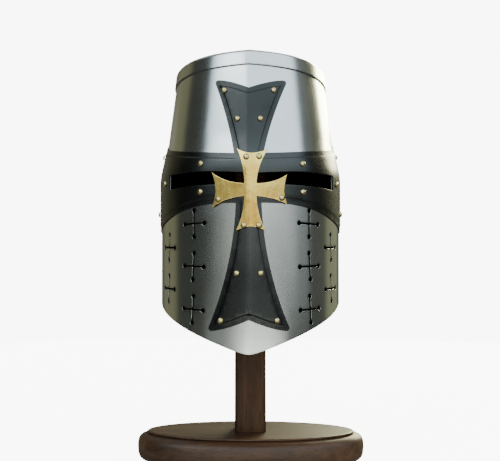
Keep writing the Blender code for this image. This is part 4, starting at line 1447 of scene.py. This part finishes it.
def add_crown_cap(sheets, metal):
    """Flat, slightly domed top with a rounded edge and a short flange."""
    crown = section_height(CROWN)
    seam = section_height(SEAM)
    outside = cap_rows(False)
    rows = outside + cap_rows(True)
    arcs = [ROUND * (index / CAP_SIDES - 0.5) for index in range(CAP_SIDES)]
    places = [(arc, min(z, crown), CAP_OUT - inset) for inset, z in rows for arc in arcs]
    placed = wrapped_points(sheets, places)
    rings = []
    for index, (inset, z) in enumerate(rows):
        ring = placed[index * CAP_SIDES:(index + 1) * CAP_SIDES]
        rings.append([Vector((p.x, p.y, z)) for p in ring])
    outer = rings[:len(outside)]
    inner = rings[len(outside):]
    middle = Vector((0.0, sum(p.y for p in outer[-1]) / CAP_SIDES))
    domed(outer, middle)
    domed(inner, middle)
    top = Vector((middle.x, middle.y, crown + CROWN_DOME))
    tips = [top - Vector((0.0, 0.0, STEEL)), top]
    cap = solid_of_rings("crown_top", inner[::-1] + outer, metal, tips)
    mesh = cap.data
    # Painted shade: the cap's inner faces are marked hidden, to be near-black
    marked = np.zeros(len(mesh.polygons))
    marked[:(len(inner) - 1) * CAP_SIDES] = 1.0
    marked[-2 * CAP_SIDES:-CAP_SIDES] = 1.0
    mesh.attributes.new("hidden", "FLOAT", "FACE").data.foreach_set("value", marked)
    # Painted shade: the flange's lower edge is marked as rim, which the steel darkens
    flange_rim_shade = [math.exp(-(vertex.co.z - seam) / RIM_FADE) for vertex in mesh.vertices]
    mesh.attributes.new("rim", "FLOAT", "POINT").data.foreach_set("value", flange_rim_shade)
    smooth(cap)
    return dress(cap, "steel", "crown_cap")


def add_base(wood):
    """Oval base with a thin lip over a half-round edge and a low foot set back below."""
    rings = []
    for out, up in reversed(BASE_PROFILE):
        wide = BASE_HALF_X + out * BASE_BULGE
        deep = BASE_HALF_Y + out * BASE_BULGE
        z = up * BASE_HEIGHT
        turns = circle(BASE_SIDES)
        rings.append([Vector((wide * math.cos(t), STAND_BACK + deep * math.sin(t), z)) for t in turns])
    base = solid_of_rings("oval_base", rings, wood)
    smooth(base, degrees=55.0)
    return dress(base, "stained_wood", "stand_base")


def add_post(wood):
    """Square post with softly chamfered edges."""
    half = POST_WIDTH / 2
    inner = half - POST_CHAMFER
    corner = [(half, inner - POST_CHAMFER), (half, inner), (inner, half), (inner - POST_CHAMFER, half)]
    corner = [Vector(p) for p in corner]
    run = [corner[0]]
    for before, edge, after in zip(corner, corner[1:], corner[2:]):
        start = edge + (before - edge).normalized() * POST_SOFTNESS
        end = edge + (after - edge).normalized() * POST_SOFTNESS
        run.extend(bezier([start, edge, end], POST_EDGE_STEPS))
    run.append(corner[-1])
    outline = [quarter_turned(p, turn) for turn in range(4) for p in run]
    low = BASE_HEIGHT + GAP
    high = head_underside() - GAP
    heights = [low + (high - low) * index / POST_ROWS for index in range(POST_ROWS + 1)]
    rings = [[Vector((p.x, STAND_BACK + p.y, z)) for p in outline] for z in heights]
    post = solid_of_rings("square_post", rings, wood)
    smooth(post, degrees=60.0)
    return dress(post, "stained_wood", "stand_post")


def head_underside():
    """Height of the underside of the stand's head, which carries the cap's dome."""
    share = HEAD_RADIUS / (HALF_WIDTH * SECTIONS[CROWN][1] - CROWN_CORNER)
    under = section_height(CROWN) - STEEL + CROWN_DOME * (1 - share * share)
    return under - GAP - HEAD_HEIGHT


def add_head(wood):
    """Plain disc inside the helm that carries the crown."""
    middle = head_underside() + HEAD_HEIGHT / 2
    straight = HEAD_HEIGHT / 2 - HEAD_EDGE
    rings = []
    for index in range(HEAD_EDGE_STEPS + 1):
        turn = math.pi * (index / HEAD_EDGE_STEPS - 0.5)
        z = middle + HEAD_EDGE * math.sin(turn) + (straight if 2 * index > HEAD_EDGE_STEPS else -straight)
        radius = HEAD_RADIUS - HEAD_EDGE * (1 - math.cos(turn))
        turns = circle(HEAD_SIDES)
        rings.append([Vector((radius * math.cos(t), radius * math.sin(t), z)) for t in turns])
    head = solid_of_rings("crown_rest", rings, wood)
    smooth(head, degrees=55.0)
    return dress(head, "stained_wood", "stand_head")


# Studio

# Soft panels round the helm, in degrees. Bearings are from the camera's side, to the right.
PANELS = (
    # middle, half width, side edge, low, high, level edge, strength, colour
    (7.5, 72.0, 5.0, 13.5, 56.0, 4.0, 2.60, (0.84, 1.00, 1.10)),
    (12.0, 38.0, 8.0, 7.6, 13.5, 2.5, 2.20, (0.95, 1.00, 1.00)),
    (-42.0, 12.0, 6.0, 25.0, 38.0, 3.0, 3.20, (1.00, 1.00, 0.94)),
    (88.0, 14.0, 6.0, 14.0, 36.0, 4.0, 0.11, (0.90, 1.00, 1.00)),
    (34.0, 27.0, 9.0, -1.0, 9.0, 2.5, 0.66, (0.95, 1.00, 0.98)),
    (70.0, 14.0, 8.0, -3.0, 9.0, 2.5, 0.30, (0.92, 1.00, 1.00)),
    (104.0, 14.0, 8.0, -3.0, 30.0, 4.0, 0.06, (0.95, 1.00, 0.80)),
    (-6.0, 40.0, 8.0, -1.0, 9.0, 2.5, 0.72, (1.00, 1.00, 0.92)),
    (4.0, 43.0, 5.0, -15.0, -4.8, 0.7, 4.00, (0.97, 1.00, 0.94)),
    (-50.0, 10.0, 5.0, -45.0, -3.6, 0.8, 0.30, (0.95, 1.00, 0.95)),
    (0.0, 181.0, 0.5, -91.0, -7.0, 2.0, 0.16, (1.00, 1.00, 0.90)),
    (-126.0, 17.0, 6.0, -12.0, 32.0, 4.0, 0.20, (1.05, 1.00, 0.52)),
    (-156.0, 16.0, 6.0, -12.0, 32.0, 4.0, 0.08, (1.05, 1.00, 0.55)),
    (134.0, 18.0, 5.0, -12.0, 12.0, 4.0, 0.30, (0.98, 1.00, 0.56)),
    (150.0, 20.8, 2.5, 15.0, 34.0, 2.0, 24.0, (1.00, 0.98, 0.62)),
    (180.0, 45.0, 12.0, 8.0, 19.0, 3.0, 0.14, (1.00, 1.00, 0.90)),
    (180.0, 95.0, 10.0, 40.0, 64.0, 6.0, 0.70, (1.00, 1.00, 0.98)),
    (0.0, 181.0, 0.5, 62.0, 91.0, 6.0, 0.80, (1.00, 1.00, 1.00)),
)
PANEL_SHAPE = ("Middle", "Half Width", "Side Edge", "Low", "High", "Level Edge")
ROOM = (0.062, 0.066, 0.055)
WHITE_OUT = 8.5
FLOOR_SHARE = 0.9
FLOOR_RADIUS = 2.2
FLOOR_SIDES = 96


def add_floor():
    """Plain pale floor, whited out to the eye like the wall behind it."""
    verts = [(FLOOR_RADIUS * math.cos(t), FLOOR_RADIUS * math.sin(t), 0.0) for t in circle(FLOOR_SIDES)]
    mesh = bpy.data.meshes.new("studio_floor")
    mesh.from_pydata(verts, [], [tuple(range(FLOOR_SIDES))])
    made, tree, shader, where = finish("pale_paper", metallic=0.0, roughness=0.9)
    mottle = effect(tree, "clouds", vector=where, scale=3.0, contrast=1.0)["Mask"]
    feed(tree, shader.inputs["Base Color"], blend(tree, mottle, PAPER_GREY, PAPER_PALE))
    shader.inputs["Emission Color"].default_value = (1.0, 1.0, 1.0, 1.0)
    seen = tree.nodes.new("ShaderNodeLightPath").outputs["Is Camera Ray"]
    glow = calc(tree, "MULTIPLY", seen, WHITE_OUT * FLOOR_SHARE)
    feed(tree, shader.inputs["Emission Strength"], glow)
    mesh.materials.append(made)
    floor = shown("studio_floor", mesh)
    floor.visible_glossy = False
    return floor


def panel_group():
    """Brightness of one soft-edged panel towards a bearing and a height, all in degrees."""
    inputs = dict.fromkeys(("Bearing", "Height") + PANEL_SHAPE, 1.0)
    tree, given, out = new_tree("soft_panel", "ShaderNodeTree", inputs, "Mask")

    def past(value, limit, edge):
        start = calc(tree, "SUBTRACT", given[limit], given[edge])
        return ramp(tree, value, start, calc(tree, "ADD", given[limit], given[edge]), soft=True)

    turned = calc(tree, "SUBTRACT", given["Bearing"], given["Middle"])
    away = calc(tree, "ABSOLUTE", calc(tree, "WRAP", turned, 180.0, -180.0))
    beside = calc(tree, "SUBTRACT", 1.0, past(away, "Half Width", "Side Edge"))
    under = calc(tree, "SUBTRACT", 1.0, past(given["Height"], "High", "Level Edge"))
    both = calc(tree, "MULTIPLY", past(given["Height"], "Low", "Level Edge"), under)
    feed(tree, out["Mask"], calc(tree, "MULTIPLY", beside, both))
    return tree


def add_lights():
    """Soft studio panels round the helm in a dim room, before a white wall."""
    world = bpy.data.worlds.new("soft_studio")
    bpy.context.scene.world = world
    world.use_nodes = True
    tree = world.node_tree
    panel = panel_group()
    x, y, z = parts(tree, tree.nodes.new("ShaderNodeTexCoord").outputs["Generated"])
    bearing = calc(tree, "DEGREES", calc(tree, "ARCTAN2", x, calc(tree, "MULTIPLY", y, -1.0)))
    height = calc(tree, "DEGREES", calc(tree, "ARCSINE", z))
    light = joined(tree, *ROOM)
    for *shape, strength, colour in PANELS:
        values = {"Bearing": bearing, "Height": height, **dict(zip(PANEL_SHAPE, shape))}
        mask = place(tree, "ShaderNodeGroup", values, node_tree=panel).outputs["Mask"]
        tint = [strength * channel for channel in colour]
        light = arrow(tree, "MULTIPLY_ADD", joined(tree, mask, mask, mask), tint, light)
    ground = tree.nodes["Background"]
    seen = tree.nodes.new("ShaderNodeLightPath").outputs["Is Camera Ray"]
    feed(tree, ground.inputs["Color"], blend(tree, seen, light, (WHITE_OUT,) * 3))
    ground.inputs["Strength"].default_value = 1.0


def add_camera():
    """Camera at the photograph's angle, turned a little and tilted up."""
    data = bpy.data.cameras.new("photo_camera")
    data.sensor_fit = "HORIZONTAL"
    data.sensor_width = SENSOR_WIDTH
    data.lens = FOCAL_PIXELS / FRAME_WIDTH * SENSOR_WIDTH
    camera = shown("photo_camera", data)
    x = CAMERA_DISTANCE * math.sin(CAMERA_TURN) - CAMERA_SHIFT
    camera.location = (x, -CAMERA_DISTANCE * math.cos(CAMERA_TURN), CAMERA_HEIGHT)
    camera.rotation_euler = (math.pi / 2 + CAMERA_PITCH, 0.0, CAMERA_TURN)
    bpy.context.scene.camera = camera


def main():
    GROUPS["clouds"] = cloud_group()
    GROUPS["brushing"] = brushing_group()
    GROUPS["rim"] = rim_wear_and_shade_group()
    GROUPS["wood"] = wood_group()
    wrap = helm_wrap_tree(helm_surface_tree())
    sheets = sheet_tree(wrap)
    rivets = rivet_tree(wrap)
    steel = satin_steel()
    add_front_plate(sheets, steel)
    add_back_plate(sheets, steel)
    add_crown_cap(sheets, steel)
    add_black_cross(sheets, blackened_steel())
    add_brass_cross(sheets, brushed_brass())
    pale = rivet_brass()
    add_rivets("band_rivets", band_rivet_places(), rivets, pale)
    add_rivets("upright_rivets", upright_rivet_places(), rivets, pale)
    add_rivets("brass_cross_rivets", brass_rivet_places(), rivets, pale)
    add_rivets("lap_rivets", lap_rivet_places(), rivets, pale)
    lying = stained_wood("stained_wood_base", WOOD_GRAIN_LYING, BASE_GLOSS)
    upright = stained_wood("stained_wood_post", WOOD_GRAIN_UPRIGHT, POST_GLOSS)
    add_base(lying)
    add_post(upright)
    add_head(lying)
    add_floor()
    add_lights()
    add_camera()


main()
